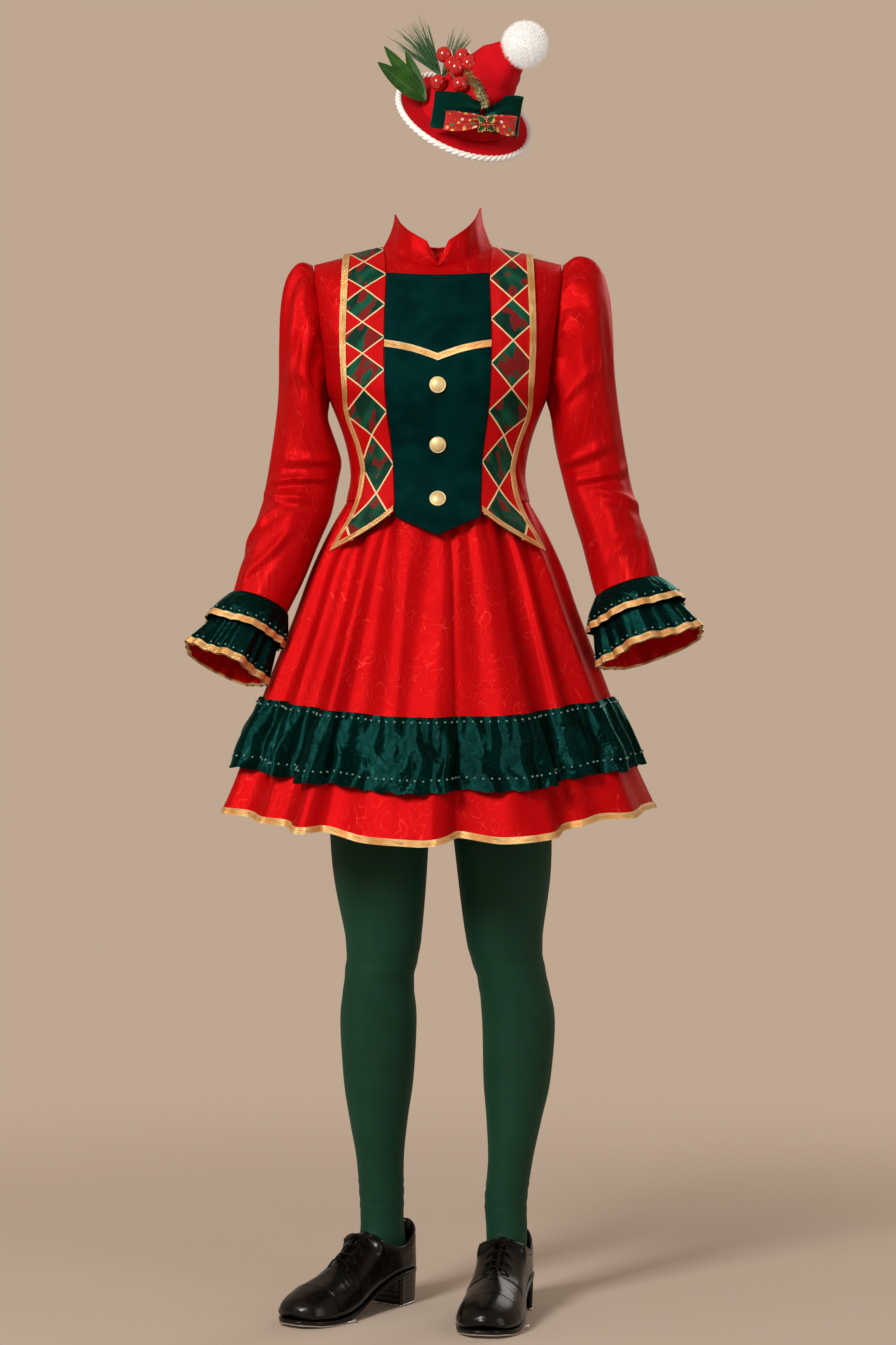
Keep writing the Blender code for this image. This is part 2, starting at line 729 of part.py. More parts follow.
def harlequin(side, front):
    """A harlequin panel from the shoulder seam over the waist, with its gold binding."""
    sign = SIDE[side]
    columns = mirrored(FRONT_COLUMNS)
    picked = np.flatnonzero((sign * columns >= 1) & (sign * columns <= 2))
    size = abs(columns[picked])
    ends = HARLEQUIN_CORNER + (HARLEQUIN_TIP - HARLEQUIN_CORNER) * (size - 1)
    grid, normal = overlay(front, picked, columns[picked], ends, slice(0, len(front)))
    inner, outer = (0, 2) if sign > 0 else (2, 0)
    grid[:, inner] += (grid[:, 1] - grid[:, inner]) * PANEL_INSET["seam"]
    grid[-1] += (grid[-2] - grid[-1]) * PANEL_INSET["shoulder"]
    low = CLOTH + GAP
    wall(
        f"harlequin_{side}",
        grid + normal * (low + VELVET),
        grid + normal * low,
        "harlequin_print",
        flip=lambda *_: sign > 0,
    )
    raised = [step_from(grid, 0, column, (1, column), RIBBON_WIDTH) for column in (inner, 1)]
    drawn_in = [step_from(grid, row, outer, (row, 1), RIBBON_WIDTH) for row in range(len(grid))]
    drawn_in[0] = drawn_in[0] + raised[1] - grid[0, 1]
    edge = [grid[0, inner], grid[0, 1], *grid[:, outer]]
    normals = [normal[0, inner], normal[0, 1], *normal[:, outer]]
    lines = np.array((edge, raised + drawn_in))[:, ::-1]
    normals = np.array(normals)[::-1]
    low += VELVET + BINDING_LIFT
    wall(
        f"harlequin_binding_{side}",
        lines + normals * (low + RIBBON),
        lines + normals * low,
        "gold_ribbon",
        flip=lambda _, column: column < len(grid) - 1,
    )


def collar(front, back):
    """The standing collar, open in a notch at the front and low behind the neck."""
    rows = []
    for grid, columns, rises in (
        (front, mirrored(FRONT_COLUMNS), FRONT_COLLAR),
        (back, mirrored(BACK_COLUMNS), BACK_COLLAR),
    ):
        picked = np.flatnonzero(abs(columns) <= 1)
        size = abs(columns[picked])
        base = grid[-1, picked]
        rows.append((base, straight(rises, "rise", size), straight(rises, "lean", size)))
    (front_base, front_rise, front_lean), (back_base, back_rise, back_lean) = rows
    base = np.concatenate([front_base, back_base[-2:0:-1]])
    rise = np.concatenate([front_rise, back_rise[-2:0:-1]])[:, None]
    lean = np.concatenate([front_lean, back_lean[-2:0:-1]])[:, None]
    away = base * (1, 1, 0)
    away /= np.linalg.norm(away, axis=1, keepdims=True)
    base = base + (0, 0, CLOTH + GAP)
    top = base + away * lean + np.array((0, 0, 1)) * rise
    grid = np.array([base, (base + top) / 2 + away * COLLAR_BULGE, top])
    normal = np.broadcast_to(away, grid.shape)
    wall("collar", grid + normal * CLOTH, grid, "red_satin", closed=True)


def ring_values(source, share):
    """Every named value of a sleeve or cuff at a share of the way down it."""
    keys = np.linspace(0, 1, len(source["middle"]))
    return {name: curve(keys, values, np.asarray(share, float)) for name, values in source.items()}


def ring_grid(source, sign, shares, columns):
    """Rings round an arm: the first column is the inner point and the next ones pass the front."""
    values = ring_values(source, shares)
    turn = np.linspace(0, 2 * math.pi, columns, endpoint=False)
    inner = np.stack([sign * values["inner_x"], values["middle"], values["inner_h"]], axis=1)
    outer = np.stack([sign * values["outer_x"], values["middle"], values["outer_h"]], axis=1)
    pitch = np.radians(values["pitch"])
    forward = np.stack([0 * pitch, -np.cos(pitch), np.sin(pitch)], axis=1) * values["half_depth"][:, None]
    middle = (inner + outer) / 2
    half = (outer - inner) / 2
    grid = (
        middle[:, None]
        - half[:, None] * np.cos(turn)[None, :, None]
        + forward[:, None] * np.sin(turn)[None, :, None]
    )
    return grid, middle[:, None]


def sleeve(side):
    """A full sleeve: gathered at its head, creased at the elbow, narrowed to the cuff seam."""
    source = SLEEVES[side]
    shares = np.linspace(0, 1, len(source["middle"]))
    grid, middle = ring_grid(source, SIDE[side], shares, SLEEVE_COLUMNS)
    normal = outward(grid, middle, closed=True)
    pleat = np.zeros((len(shares), SLEEVE_COLUMNS))
    pleat[: len(SLEEVE_PLEAT)] = np.array(SLEEVE_PLEAT)[:, None]
    pleat = pleat * np.where(np.arange(SLEEVE_COLUMNS) % 2, 1, -1)
    grid = grid + normal * pleat[..., None]
    wall(f"sleeve_{side}", grid + normal * SLEEVE_CLOTH, grid, "red_satin", closed=True)


def cuff(side):
    """Two gathered ruffles round the wrist, the upper one over the lower, each edged with gold."""
    source = CUFFS[side]
    shares = np.array((0, 0.5, 1.0))
    grid, middle = ring_grid(source, SIDE[side], shares, CUFF_COLUMNS)
    normal = outward(grid, middle, closed=True)
    turn = np.arange(CUFF_COLUMNS) * 2 * math.pi * CUFF_WAVES / CUFF_COLUMNS
    wave = source["wave"][:, None] * np.cos(turn)
    grid = grid + normal * wave[..., None]
    grid[0] -= (0, 0, CUFF_SEAM_DROP)
    ruffle("lower", side, grid, normal)
    stand = CLOTH + np.array(UPPER_RUFFLE_STAND)[:, None, None]
    ruffle("upper", side, grid[:2] + normal[:2] * stand, normal[:2])


def ruffle(which, side, grid, normal):
    """One cuff ruffle and the ribbon round its edge."""
    wall(f"cuff_ruffle_{which}_{side}", grid + normal * CLOTH, grid, "green_satin", closed=True)
    upward = grid[-2] - grid[-1]
    length = np.linalg.norm(upward, axis=1, keepdims=True)
    share = RIBBON_WIDTH / length
    band = np.array([grid[-1] + upward * share, grid[-1]])
    lift = np.array([normal[-1] + (normal[-2] - normal[-1]) * share, normal[-1]])
    low = CLOTH + 2 * GAP
    wall(
        f"cuff_binding_{which}_{side}",
        band + lift * (low + RIBBON),
        band + lift * low,
        "gold_ribbon",
        closed=True,
    )


def skirt(name, face):
    """Half of the skirt with its gathered ruffle and the gold binding of its hem."""
    grid = skirt_grid(face, SKIRT_ROWS)
    normal = outward(grid, grid * (0, 0, 1), level=True)
    normal[:, 0] = (-1, 0, 0)
    normal[:, -1] = (1, 0, 0)
    wall(f"skirt_{name}", grid + normal * CLOTH, grid, "red_satin")
    wave = np.cos(np.arange(grid.shape[1]) * 2 * math.pi / RUFFLE_PERIOD)
    stand = np.array(RUFFLE_STAND)[:, None] + np.array(RUFFLE_WAVE)[:, None] * wave
    under = grid[RUFFLE_ROWS] + normal[RUFFLE_ROWS] * (CLOTH + GAP + stand)[..., None]
    wall(f"skirt_ruffle_{name}", under + normal[RUFFLE_ROWS] * CLOTH, under, "green_satin")
    upward = grid[1] - grid[0]
    share = RIBBON_WIDTH / np.linalg.norm(upward, axis=1, keepdims=True)
    band = np.array([grid[0], grid[0] + upward * share])
    lift = np.array([normal[0], normal[0] + (normal[1] - normal[0]) * share])
    low = CLOTH + GAP
    wall(f"hem_binding_{name}", band + lift * (low + RIBBON), band + lift * low, "gold_ribbon")


def tights_top():
    """The tights from the waist, just inside the bodice, down to where the legs begin."""
    turn = np.linspace(0, 2 * math.pi, TIGHTS_TOP_COLUMNS, endpoint=False)
    turn, heights = np.meshgrid(turn, TIGHTS_TOP["height"])
    half_width, front, back = [read(TIGHTS_TOP, name, heights) for name in ("half_width", "front", "back")]
    depth = np.where(np.cos(turn) > 0, front, back)
    grid = np.stack([half_width * np.sin(turn), -depth * np.cos(turn), heights], axis=2)
    normal = outward(grid, grid * (0, 0, 1), closed=True, level=True)
    wall("tights_top", grid, grid - normal * KNIT, "tights_knit", closed=True)


def leg_ring(x, y, height, half_width, half_depth, turn_out):
    """A ring round a leg, turned with the foot; the first point is the front one."""
    turn = np.linspace(0, 2 * math.pi, LEG_COLUMNS, endpoint=False)
    right = half_width * np.sin(turn)
    ahead = half_depth * np.cos(turn)
    toward = np.array((-math.sin(turn_out), -math.cos(turn_out), 0))
    across = np.array((math.cos(turn_out), -math.sin(turn_out), 0))
    return np.array((x, y, height)) + ahead[:, None] * toward + right[:, None] * across


def crotch_ring(sign):
    """The leg's first ring: half of the tights' top, closed by a straight inner side."""
    share = np.arange(LEG_COLUMNS) / (LEG_COLUMNS // 2)
    half_width, front, back = [TIGHTS_TOP[name][0] for name in ("half_width", "front", "back")]
    inside = KNIT
    turn = math.pi * share
    depth = np.where(np.cos(turn) > 0, front, back)
    outer = np.stack([inside + (half_width - inside) * np.sin(turn), -depth * np.cos(turn)], axis=1)
    inner = np.stack([inside + 0 * share, back - (front + back) * (share - 1)], axis=1)
    flat = np.where(share[:, None] <= 1, outer, inner)
    if sign < 0:
        flat = np.roll(flat[::-1], 1, axis=0) * (-1, 1)
    height = np.full((LEG_COLUMNS, 1), TIGHTS_TOP["height"][0] - GAP)
    return np.concatenate([flat, height], axis=1)


def in_shoe(side, along, across, height):
    """A point of the shoe's own frame: along from the heel, across to the viewer's right, and up."""
    heel_x, heel_y = SHOES[side]["heel"]
    turn = math.radians(SHOES[side]["turn"])
    x = heel_x - along * math.sin(turn) + across * math.cos(turn)
    y = heel_y - along * math.cos(turn) - across * math.sin(turn)
    return np.stack(np.broadcast_arrays(x, y, height), axis=-1)


def tights_leg(side):
    """A leg of the tights, from the crotch to a closed foot inside the shoe."""
    source = LEGS[side]
    turn_out = math.radians(SHOES[side]["turn"])
    rings = [crotch_ring(SIDE[side])]
    for row in reversed(range(len(source["height"]))):
        height, x, y, half_width, half_depth = [source[name][row] for name in LEG.split()]
        share = np.interp(height, LEG_TURN[::-1], (1, 0))
        rings.append(leg_ring(x, y, height, half_width, half_depth, turn_out * share))
    turn = np.linspace(0, 2 * math.pi, LEG_COLUMNS, endpoint=False)
    for front, front_h, back, back_h, half_width in zip(*FOOT.values()):
        along = (front + back) / 2 + (front - back) / 2 * np.cos(turn)
        height = (front_h + back_h) / 2 + (front_h - back_h) / 2 * np.cos(turn)
        rings.append(in_shoe(side, along, half_width * np.sin(turn), height))
    grid = np.array(rings)
    normal = outward(grid, grid.mean(axis=1, keepdims=True), closed=True)
    normal[0, :, 2] = 0
    inner = grid - normal * KNIT
    tip = in_shoe(side, FOOT_TIP[0], 0.0, FOOT_TIP[1])
    inner_tip = in_shoe(side, FOOT_TIP[0] - KNIT, 0.0, FOOT_TIP[1])
    outer = np.concatenate([grid, np.broadcast_to(tip, (1, LEG_COLUMNS, 3))])
    inner = np.concatenate([inner, np.broadcast_to(inner_tip, (1, LEG_COLUMNS, 3))])
    wall(f"tights_leg_{side}", outer, inner, "tights_knit", closed=True, poles=(False, True))


def upper_sections():
    """The upper's outer points across and up at each section: bottom, wall, instep, and back round."""
    names = ("half_width", "bottom", "shoulder_v", "shoulder", "top_v", "top", "crest")
    wide, bottom, shoulder_v, shoulder, top_v, top, crest = [UPPER[name] for name in names]
    half = [
        (0 * wide, bottom),
        (FEATHER * wide, bottom),
        (wide, bottom + FEATHER_RISE),
        (wide, bottom + WALL_SHARE * (shoulder - bottom)),
        (shoulder_v, shoulder),
        (top_v, top),
        (0 * wide, crest),
    ]
    across = [v for v, _ in half] + [-v for v, _ in half[-2:0:-1]]
    up = [w for _, w in half] + [w for _, w in half[-2:0:-1]]
    return np.array(across).T, np.array(up).T


def shoe_upper(side):
    """The leather upper with its insole: open at the ankle, slit under the laces."""
    across, up = upper_sections()
    along = UPPER["along"][:, None] + 0 * across
    grid = in_shoe(side, along, across, up)
    middle = in_shoe(side, along, 0 * across, (up.min(axis=1) + up.max(axis=1))[:, None] / 2 + 0 * up)
    normal = outward(grid, middle, closed=True)
    columns = grid.shape[1]
    back = np.broadcast_to(in_shoe(side, UPPER_BACK[0], 0.0, UPPER_BACK[1]), (1, columns, 3))
    toe = np.broadcast_to(in_shoe(side, UPPER_TOE[0], 0.0, UPPER_TOE[1]), (1, columns, 3))
    inner_back = np.broadcast_to(in_shoe(side, UPPER_BACK[0] + LEATHER, 0.0, UPPER_BACK[1]), back.shape)
    inner_toe = np.broadcast_to(in_shoe(side, UPPER_TOE[0] - LEATHER, 0.0, UPPER_TOE[1]), toe.shape)
    outer = np.concatenate([back, grid, toe])
    inner = np.concatenate([inner_back, grid - normal * LEATHER, inner_toe])
    ankle = int(np.flatnonzero(UPPER["along"] == TOPLINE_END)[0]) + 1
    throat = int(np.flatnonzero(UPPER["along"] == THROAT_END)[0]) + 1

    def keep(row, column):
        if row < ankle:
            return not 4 <= column <= 7
        return row >= throat or not 5 <= column <= 6

    wall(
        f"shoe_upper_{side}", outer, inner, "black_leather", closed=True, keep=keep, poles=(True, True)
    )


def slab(name, side, along, half_width, top, bottom, finish):
    """A plate across the shoe, from its half widths and the heights of its two faces."""
    shares = np.array((-1.0, 1.0))
    along = along[:, None] + 0 * shares
    across = half_width[:, None] * shares
    faces = [in_shoe(side, along, across, height[:, None] + 0 * shares) for height in (top, bottom)]
    wall(name, faces[0], faces[1], finish)


def shoe_bottom(side):
    """Sole, heel and the metal taps under them."""
    ends = np.array((SOLE_BACK[0], *UPPER["along"], SOLE_TIP[0]))
    half_width = np.array((SOLE_BACK[1], *(UPPER["half_width"] + SOLE_EDGE), SOLE_TIP[1]))
    bottom = np.interp(ends, UPPER["along"], UPPER["bottom"]) - GAP
    bottom[-1] += SOLE_TIP_RISE
    slab(f"shoe_sole_{side}", side, ends, half_width, bottom, bottom - SOLE, "sole_leather")
    under = bottom - SOLE - GAP
    along = np.array(HEEL_STATIONS)
    wide = np.interp(along, ends, half_width) - HEEL_INSET
    top = np.interp(along, ends, under)
    slab(f"shoe_heel_{side}", side, along, wide, top, 0 * top + TAP + GAP, "sole_leather")
    slab(f"shoe_heel_tap_{side}", side, along, wide, 0 * top + TAP, 0 * top, "tap_metal")
    along = np.array(TOE_TAP_STATIONS)
    wide = np.interp(along, ends, half_width) - TOE_TAP_INSET
    top = np.interp(along, ends, under)
    slab(f"shoe_toe_tap_{side}", side, along, wide, top, top - TAP, "tap_metal")


def tongue(side):
    """The tongue under the slit, rising in front of the ankle."""
    along = TONGUE["along"]
    crest = np.interp(along, UPPER["along"], UPPER["crest"]) - LEATHER - TONGUE_DEPTH
    across = TONGUE["half_width"][:, None] * np.linspace(-1, 1, 5)
    height = (crest + TONGUE["rise"])[:, None] - TONGUE_SLOPE * abs(across)
    faces = [in_shoe(side, along[:, None], across, height - depth) for depth in (0.0, TONGUE_THICKNESS)]
    wall(f"shoe_tongue_{side}", faces[0], faces[1], "black_leather")


def laces(side):
    """One lace that crosses the slit at every pair of eyelets."""
    route = []
    for number, along in enumerate(LACE_ROWS):
        row = int(np.flatnonzero(UPPER["along"] == along)[0])
        top_v, top, shoulder_v, shoulder = [UPPER[n][row] for n in ("top_v", "top", "shoulder_v", "shoulder")]
        side_height = np.interp(LACE_V, (top_v, shoulder_v), (top, shoulder)) + LACE_LIFTS["side"]
        over = top + LACE_LIFTS["slit"]
        if along == THROAT_END:
            over = UPPER["crest"][row] + LACE_LIFTS["vamp"]
        points = [(-LACE_V, side_height), (-top_v, over), (top_v, over), (LACE_V, side_height)]
        if number % 2:
            points.reverse()
        route += [in_shoe(side, along, v, w) for v, w in points]
    tube(f"shoe_laces_{side}", np.array(route), LACE_RADIUS, 4, "lace_cord")


def tube_rings(path, radius, sides, closed=False):
    """Rings round a path, each in the plane that halves its bend."""
    if closed:
        ahead = np.roll(path, -1, axis=0) - np.roll(path, 1, axis=0)
    else:
        steps = np.diff(path, axis=0)
        steps /= np.linalg.norm(steps, axis=1, keepdims=True)
        ahead = np.concatenate([steps[:1], steps[:-1] + steps[1:], steps[-1:]])
    ahead /= np.linalg.norm(ahead, axis=1, keepdims=True)
    rings = []
    across = Vector(ahead[0]).orthogonal()
    for point, direction in zip(path, ahead):
        direction = Vector(direction)
        across = (across - direction * across.dot(direction)).normalized()
        other = direction.cross(across)
        turns = [2 * math.pi * n / sides for n in range(sides)]
        rings.append([Vector(point) + radius * (math.cos(t) * across + math.sin(t) * other) for t in turns])
    return np.array(rings)


def tube(name, path, radius, sides, finish):
    """A filled tube with flat ends."""
    rings = tube_rings(path, radius, sides)
    ends = [np.broadcast_to(end, (1, sides, 3)) for end in (path[0], path[-1])]
    turned_solid(name, np.concatenate([ends[0], rings, ends[1]]), finish)


def hat_matrix():
    """The hat's own frame: right, back and up from the middle of its brim."""
    up = Vector(HAT_UP).normalized()
    right = Vector(HAT_RIGHT)
    right = (right - up * right.dot(up)).normalized()
    back = up.cross(right)
    return np.array((right, back, up)).T


def on_hat(points):
    """Points of the hat's frame, in millimetres above the floor."""
    return np.asarray(points, float) @ hat_matrix().T + np.array(HAT_CENTRE)


def brim_height(radius):
    return -BRIM_DROOP * (radius / BRIM_RADIUS) ** 2


def hat_brim():
    """The felt disc under the crown and the braid round its edge."""
    turn = np.linspace(0, 2 * math.pi, BRIM_COLUMNS, endpoint=False)
    radius = np.array((0.0, BRIM_MIDDLE, BRIM_RADIUS))[:, None]
    rows = [radius * np.cos(turn), radius * np.sin(turn), brim_height(radius) + 0 * turn]
    top = np.stack(rows, axis=2)
    bottom = top - (0, 0, FELT)
    wall("hat_brim", on_hat(top), on_hat(bottom), "red_felt", closed=True, poles=(True, False))
    middle = BRIM_RADIUS + PIPING_RADIUS + GAP
    height = brim_height(BRIM_RADIUS) - FELT / 2
    path = np.stack([middle * np.cos(turn), middle * np.sin(turn), height + 0 * turn], axis=1)
    rings = tube_rings(path, PIPING_RADIUS, PIPING_SIDES, closed=True)
    closed_ring("hat_piping", on_hat(rings), "white_braid")


def closed_ring(name, rings, finish):
    """A filled ring whose sections follow each other all the way round."""
    count, sides = rings.shape[:2]
    faces = []
    for i in range(count):
        for j in range(sides):
            a, b = i * sides + j, i * sides + (j + 1) % sides
            c, d = ((i + 1) % count) * sides + (j + 1) % sides, ((i + 1) % count) * sides + j
            faces += [(a, b, c), (a, c, d)]
    solid(name, rings.reshape(-1, 3), faces, finish)


def hat_crown():
    """The hollow cone, which leans to the viewer's right."""
    turn = np.linspace(0, 2 * math.pi, CROWN_COLUMNS, endpoint=False)
    height, x, y, radius = [CROWN[name][:, None] for name in ("height", "x", "y", "radius")]
    grid = np.stack([x + radius * np.cos(turn), y + radius * np.sin(turn), height + 0 * turn], axis=2)
    normal = outward(grid, grid.mean(axis=1, keepdims=True), closed=True)
    grid[0, :, 2] += GAP
    tip = np.broadcast_to(CROWN_TIP, (1, CROWN_COLUMNS, 3))
    outer = np.concatenate([grid, tip])
    inner = np.concatenate([grid - normal * (FELT, FELT, 0), tip - np.array((0, 0, FELT))])
    wall("hat_crown", on_hat(outer), on_hat(inner), "red_felt", closed=True, poles=(False, True))


def pompom():
    """A round core with short tufts all over, but for where it sits on the crown's tip."""
    mesh = bmesh.new()
    bmesh.ops.create_icosphere(mesh, subdivisions=2, radius=POMPOM_CORE)
    tufts = bmesh.ops.poke(mesh, faces=mesh.faces[:])["verts"]
    seat = (Vector(CROWN_TIP) - Vector(POMPOM_CENTRE)).normalized()
    for vert in tufts:
        facing = vert.co.normalized().dot(seat)
        vert.co = vert.co.normalized() * (POMPOM_CORE if facing > POMPOM_SEAT else POMPOM_RADIUS)
    points = np.array([vert.co for vert in mesh.verts]) + POMPOM_CENTRE
    faces = [[vert.index for vert in face.verts] for face in mesh.faces]
    mesh.free()
    solid("pompom", on_hat(points), faces, "white_pile")


def bow_frame():
    """Right, out and along the band's width, on the crown's sloping front."""
    out = Vector(BOW_OUT).normalized()
    right = Vector((1, 0, 0))
    return np.array((right, out, out.cross(right)))


def bow_loop(name, start, length, stand, swell, width, finish):
    """A loop of ribbon that leaves the knot sideways; a negative length goes to the left."""
    turn = np.linspace(0, 2 * math.pi, BOW_COLUMNS, endpoint=False)
    right = start + length / 2 * (1 - np.cos(turn))
    out = stand + swell * (1 + np.sin(turn))
    path = np.stack([right, out], axis=1)
    ahead = np.roll(path, -1, axis=0) - np.roll(path, 1, axis=0)
    inward = np.stack([ahead[:, 1], -ahead[:, 0]], axis=1) * math.copysign(1, length)
    inward /= np.linalg.norm(ahead, axis=1, keepdims=True)
    frame = bow_frame()
    grids = []
    for shift in (0.0, BOW_RIBBON):
        line = path + inward * shift
        edges = [np.insert(line, 2, edge, axis=1) for edge in (-width / 2, width / 2)]
        grids.append(on_hat(np.array(edges) @ frame + BOW_CENTRE))
    wall(name, grids[0], grids[1], finish, closed=True)


def bows():
    for which, (start, length, stand, swell, width) in BOWS.items():
        finish = "green_satin" if which.startswith("green") else "red_satin"
        bow_loop(f"hat_bow_{which}", start, length, stand, swell, width, finish)


def plate(name, outline, origin, right, up):
    """A flat leaf-like plate from its outline, standing on the hat."""
    right = Vector(right).normalized()
    up = (Vector(up) - right * Vector(up).dot(right)).normalized()
    out = right.cross(up)
    frame = np.array((right, up, out))
    count = len(outline)
    points = []
    for height in (0.0, PLATE):
        points += [(*point, height) for point in outline] + [(0.0, 0.0, height)]
    faces = []
    for n in range(count):
        k = (n + 1) % count
        low, high = count, 2 * count + 1
        faces += [(n, k, low), (k + count + 1, n + count + 1, high)]
        faces += [(k, n, n + count + 1), (k, n + count + 1, k + count + 1)]
    points = np.array(points) @ frame + np.array(origin)
    solid(name, on_hat(points), faces, "leaf_green")


def star_outline(points, inner, outer, spread=2 * math.pi, turn=0.0):
    """Points of a star or, with a smaller spread, of a fan, that alternate between two radii."""
    outline = []
    for n in range(points):
        middle = turn + spread * (n + 0.5) / points
        half = spread / points / 2
        outline.append((inner * math.cos(middle - half), inner * math.sin(middle - half)))
        outline.append((outer * math.cos(middle), outer * math.sin(middle)))
    if spread < 2 * math.pi:
        outline.append((inner * math.cos(turn + spread), inner * math.sin(turn + spread)))
        share, back = FAN_STEM
        outline.append((share * inner * math.cos(turn + back), share * inner * math.sin(turn + back)))
    return outline


def sprigs():
    """Holly over the knot, leaves at the crown's left and pine needles behind them."""
    knot = np.array(BOW_CENTRE) + np.array(BOW_OUT) * HOLLY_STAND
    along = Vector(BOW_OUT).cross(Vector((1, 0, 0)))
    plate("hat_holly", star_outline(**HOLLY), knot, (-1, 0, 0), along)
    plate("hat_leaves", star_outline(**LEAVES), LEAVES_AT, TO_VIEWER_RIGHT, TO_VIEWER_UP)
    plate("hat_needles", star_outline(**NEEDLES), NEEDLES_AT, TO_VIEWER_RIGHT, TO_VIEWER_UP)


def berries():
    """Seven round berries on one core, joined by Boolean unions."""
    core = bpy.data.meshes.new("hat_berries")
    build = bmesh.new()
    bmesh.ops.create_icosphere(build, subdivisions=1, radius=1)
    stretch = Matrix.Diagonal(BERRY_CORE_SIZE)
    points = [stretch @ vert.co + Vector(BERRY_CORE) for vert in build.verts]
    frame = Matrix(hat_matrix().tolist())
    shift = Vector(HAT_CENTRE) - Vector((0, 0, SHOULDER_HEIGHT))
    for vert, point in zip(build.verts, points):
        vert.co = (frame @ point + shift) * MM
    build.to_mesh(core)
    build.free()
    cluster = place("hat_berries", core, "berry_red")
    for number, middle in enumerate(zip(*BERRIES.values()), 1):
        ball = bpy.data.meshes.new(f"berry_cutter_{number}")
        build = bmesh.new()
        bmesh.ops.create_icosphere(build, subdivisions=2, radius=BERRY_RADIUS * MM)
        centre = (frame @ Vector(middle) + shift) * MM
        bmesh.ops.translate(build, verts=build.verts, vec=centre)
        build.to_mesh(ball)
        build.free()
        guide = bpy.data.objects.new(ball.name, ball)
        bpy.context.scene.collection.objects.link(guide)
        guide.hide_render = True
        guide.display_type = "WIRE"
        union = cluster.modifiers.new(ball.name, "BOOLEAN")
        union.operation = "UNION"
        union.object = guide


def main():
    for old in list(bpy.data.objects):
        bpy.data.objects.remove(old)
    front = bodice("bodice_front", -1, FRONT_COLUMNS)
    back = bodice("bodice_back", 1, BACK_COLUMNS)
    plastron(front)
    collar(front, back)
    skirt("front", -1)
    skirt("back", 1)
    tights_top()
    for side in SIDE:
        harlequin(side, front)
        sleeve(side)
        cuff(side)
        tights_leg(side)
        shoe_upper(side)
        shoe_bottom(side)
        tongue(side)
        laces(side)
    hat_brim()
    hat_crown()
    pompom()
    bows()
    sprigs()
    berries()


main()
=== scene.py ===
"""Looks of the tap dance costume: its cloth, folds, ruffles, ribbons, beads, leather and hat trims.

The surfaces come from the same tables as the solids, in millimetres above the floor, with more points
and with folds. Each one stands in its solid's place.
"""

import json
import math

import bmesh
import bpy
import numpy as np
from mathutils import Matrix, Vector

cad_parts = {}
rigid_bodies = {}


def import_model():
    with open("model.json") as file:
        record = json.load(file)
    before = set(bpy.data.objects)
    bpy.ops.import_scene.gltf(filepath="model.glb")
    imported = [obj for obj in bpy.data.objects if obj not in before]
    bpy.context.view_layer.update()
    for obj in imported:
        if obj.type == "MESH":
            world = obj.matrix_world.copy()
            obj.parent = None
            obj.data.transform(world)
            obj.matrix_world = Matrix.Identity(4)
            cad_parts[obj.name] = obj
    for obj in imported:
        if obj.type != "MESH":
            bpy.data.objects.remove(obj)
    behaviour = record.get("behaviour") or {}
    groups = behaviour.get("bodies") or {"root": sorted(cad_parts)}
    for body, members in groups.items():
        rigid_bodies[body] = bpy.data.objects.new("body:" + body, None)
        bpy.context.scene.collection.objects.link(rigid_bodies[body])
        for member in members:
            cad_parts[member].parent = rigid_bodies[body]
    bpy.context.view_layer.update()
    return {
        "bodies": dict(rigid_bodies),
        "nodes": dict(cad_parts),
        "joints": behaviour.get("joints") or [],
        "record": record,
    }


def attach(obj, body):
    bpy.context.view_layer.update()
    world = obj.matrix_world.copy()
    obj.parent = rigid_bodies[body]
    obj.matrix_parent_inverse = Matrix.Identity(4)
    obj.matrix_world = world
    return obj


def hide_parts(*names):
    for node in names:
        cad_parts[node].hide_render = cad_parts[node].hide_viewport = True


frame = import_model()

MM = 0.001
SHOULDER_HEIGHT = 1400.0

# Walls and the gaps at their seams
GAP = 0.4
CLOTH = 2.0
SLEEVE_CLOTH = 1.6
VELVET = 1.6
RIBBON = 1.0
RIBBON_WIDTH = 9.0
KNIT = 1.2
LEATHER = 2.5
FELT = 2.5


def table(names, rows):
    """The named columns of a short table, from its rows of numbers."""
    return dict(zip(names.split(), np.array([row.split() for row in rows.strip().splitlines()], float).T))


# Torso: the front and back depths are at the middle; above the armpit the half width is the armhole's
TORSO = table("height half_width front back", """
    1080 121 97 85
    1115 115 92 80
    1136 117 95 82
    1163 123 102 87
    1204 138 116 95
    1216 143 119 97
    1258 148 115 100
    1300 153 104 102
    1340 158 88 98
    1379 163 66 84
""")
ARMPIT = 1216.0
ARMHOLE_HALF_HEIGHT = 90.0
ARMHOLE_DEPTH = {-1: 45.0, 1: 50.0}
FLATNESS = 0.9
YOKE = 1379.0
WAIST = 1080.0
SLOPE_BULGE = 5.0

# Half widths of the plastron and of the harlequin panels' outer edges, seen from the front
EDGES = table("height plastron harlequin", """
    1010 55.5 138
    1030 55.5 128
    1048 55.5 117
    1075 55 105
    1101 56 98.5
    1124 56.5 98
    1151 59 103.5
    1197 65 119
    1239 68 123
    1287 69 126
    1379 67 126
""")
PRINCESS_SEAM = {"waist": 58.0, "yoke": 70.0}


# Columns: 0 is the middle, 1 the plastron's edge, 2 the harlequin's outer edge, 3 the side or armhole.
# Neckline, by column: front and back share the neck point and the shoulder line
NECK_POINT = (72.0, -8.0, 1418.0)
SHOULDER_TIP = (165.0, 0.0, 1396.0)
FRONT_SHOULDER_SHARES = (0, 0.57, 1)
FRONT_NECK = table("column x y height", """
    0 0 -61 1386
    0.19 14 -60 1388
    0.47 34 -54 1396
    0.75 54 -38 1407
    1 72 -8 1418
""")
BACK_NECK = table("column x y height", """
    0 0 58 1409
    0.5 38 50 1410
    0.83 62 26 1414
    1 72 -8 1418
""")


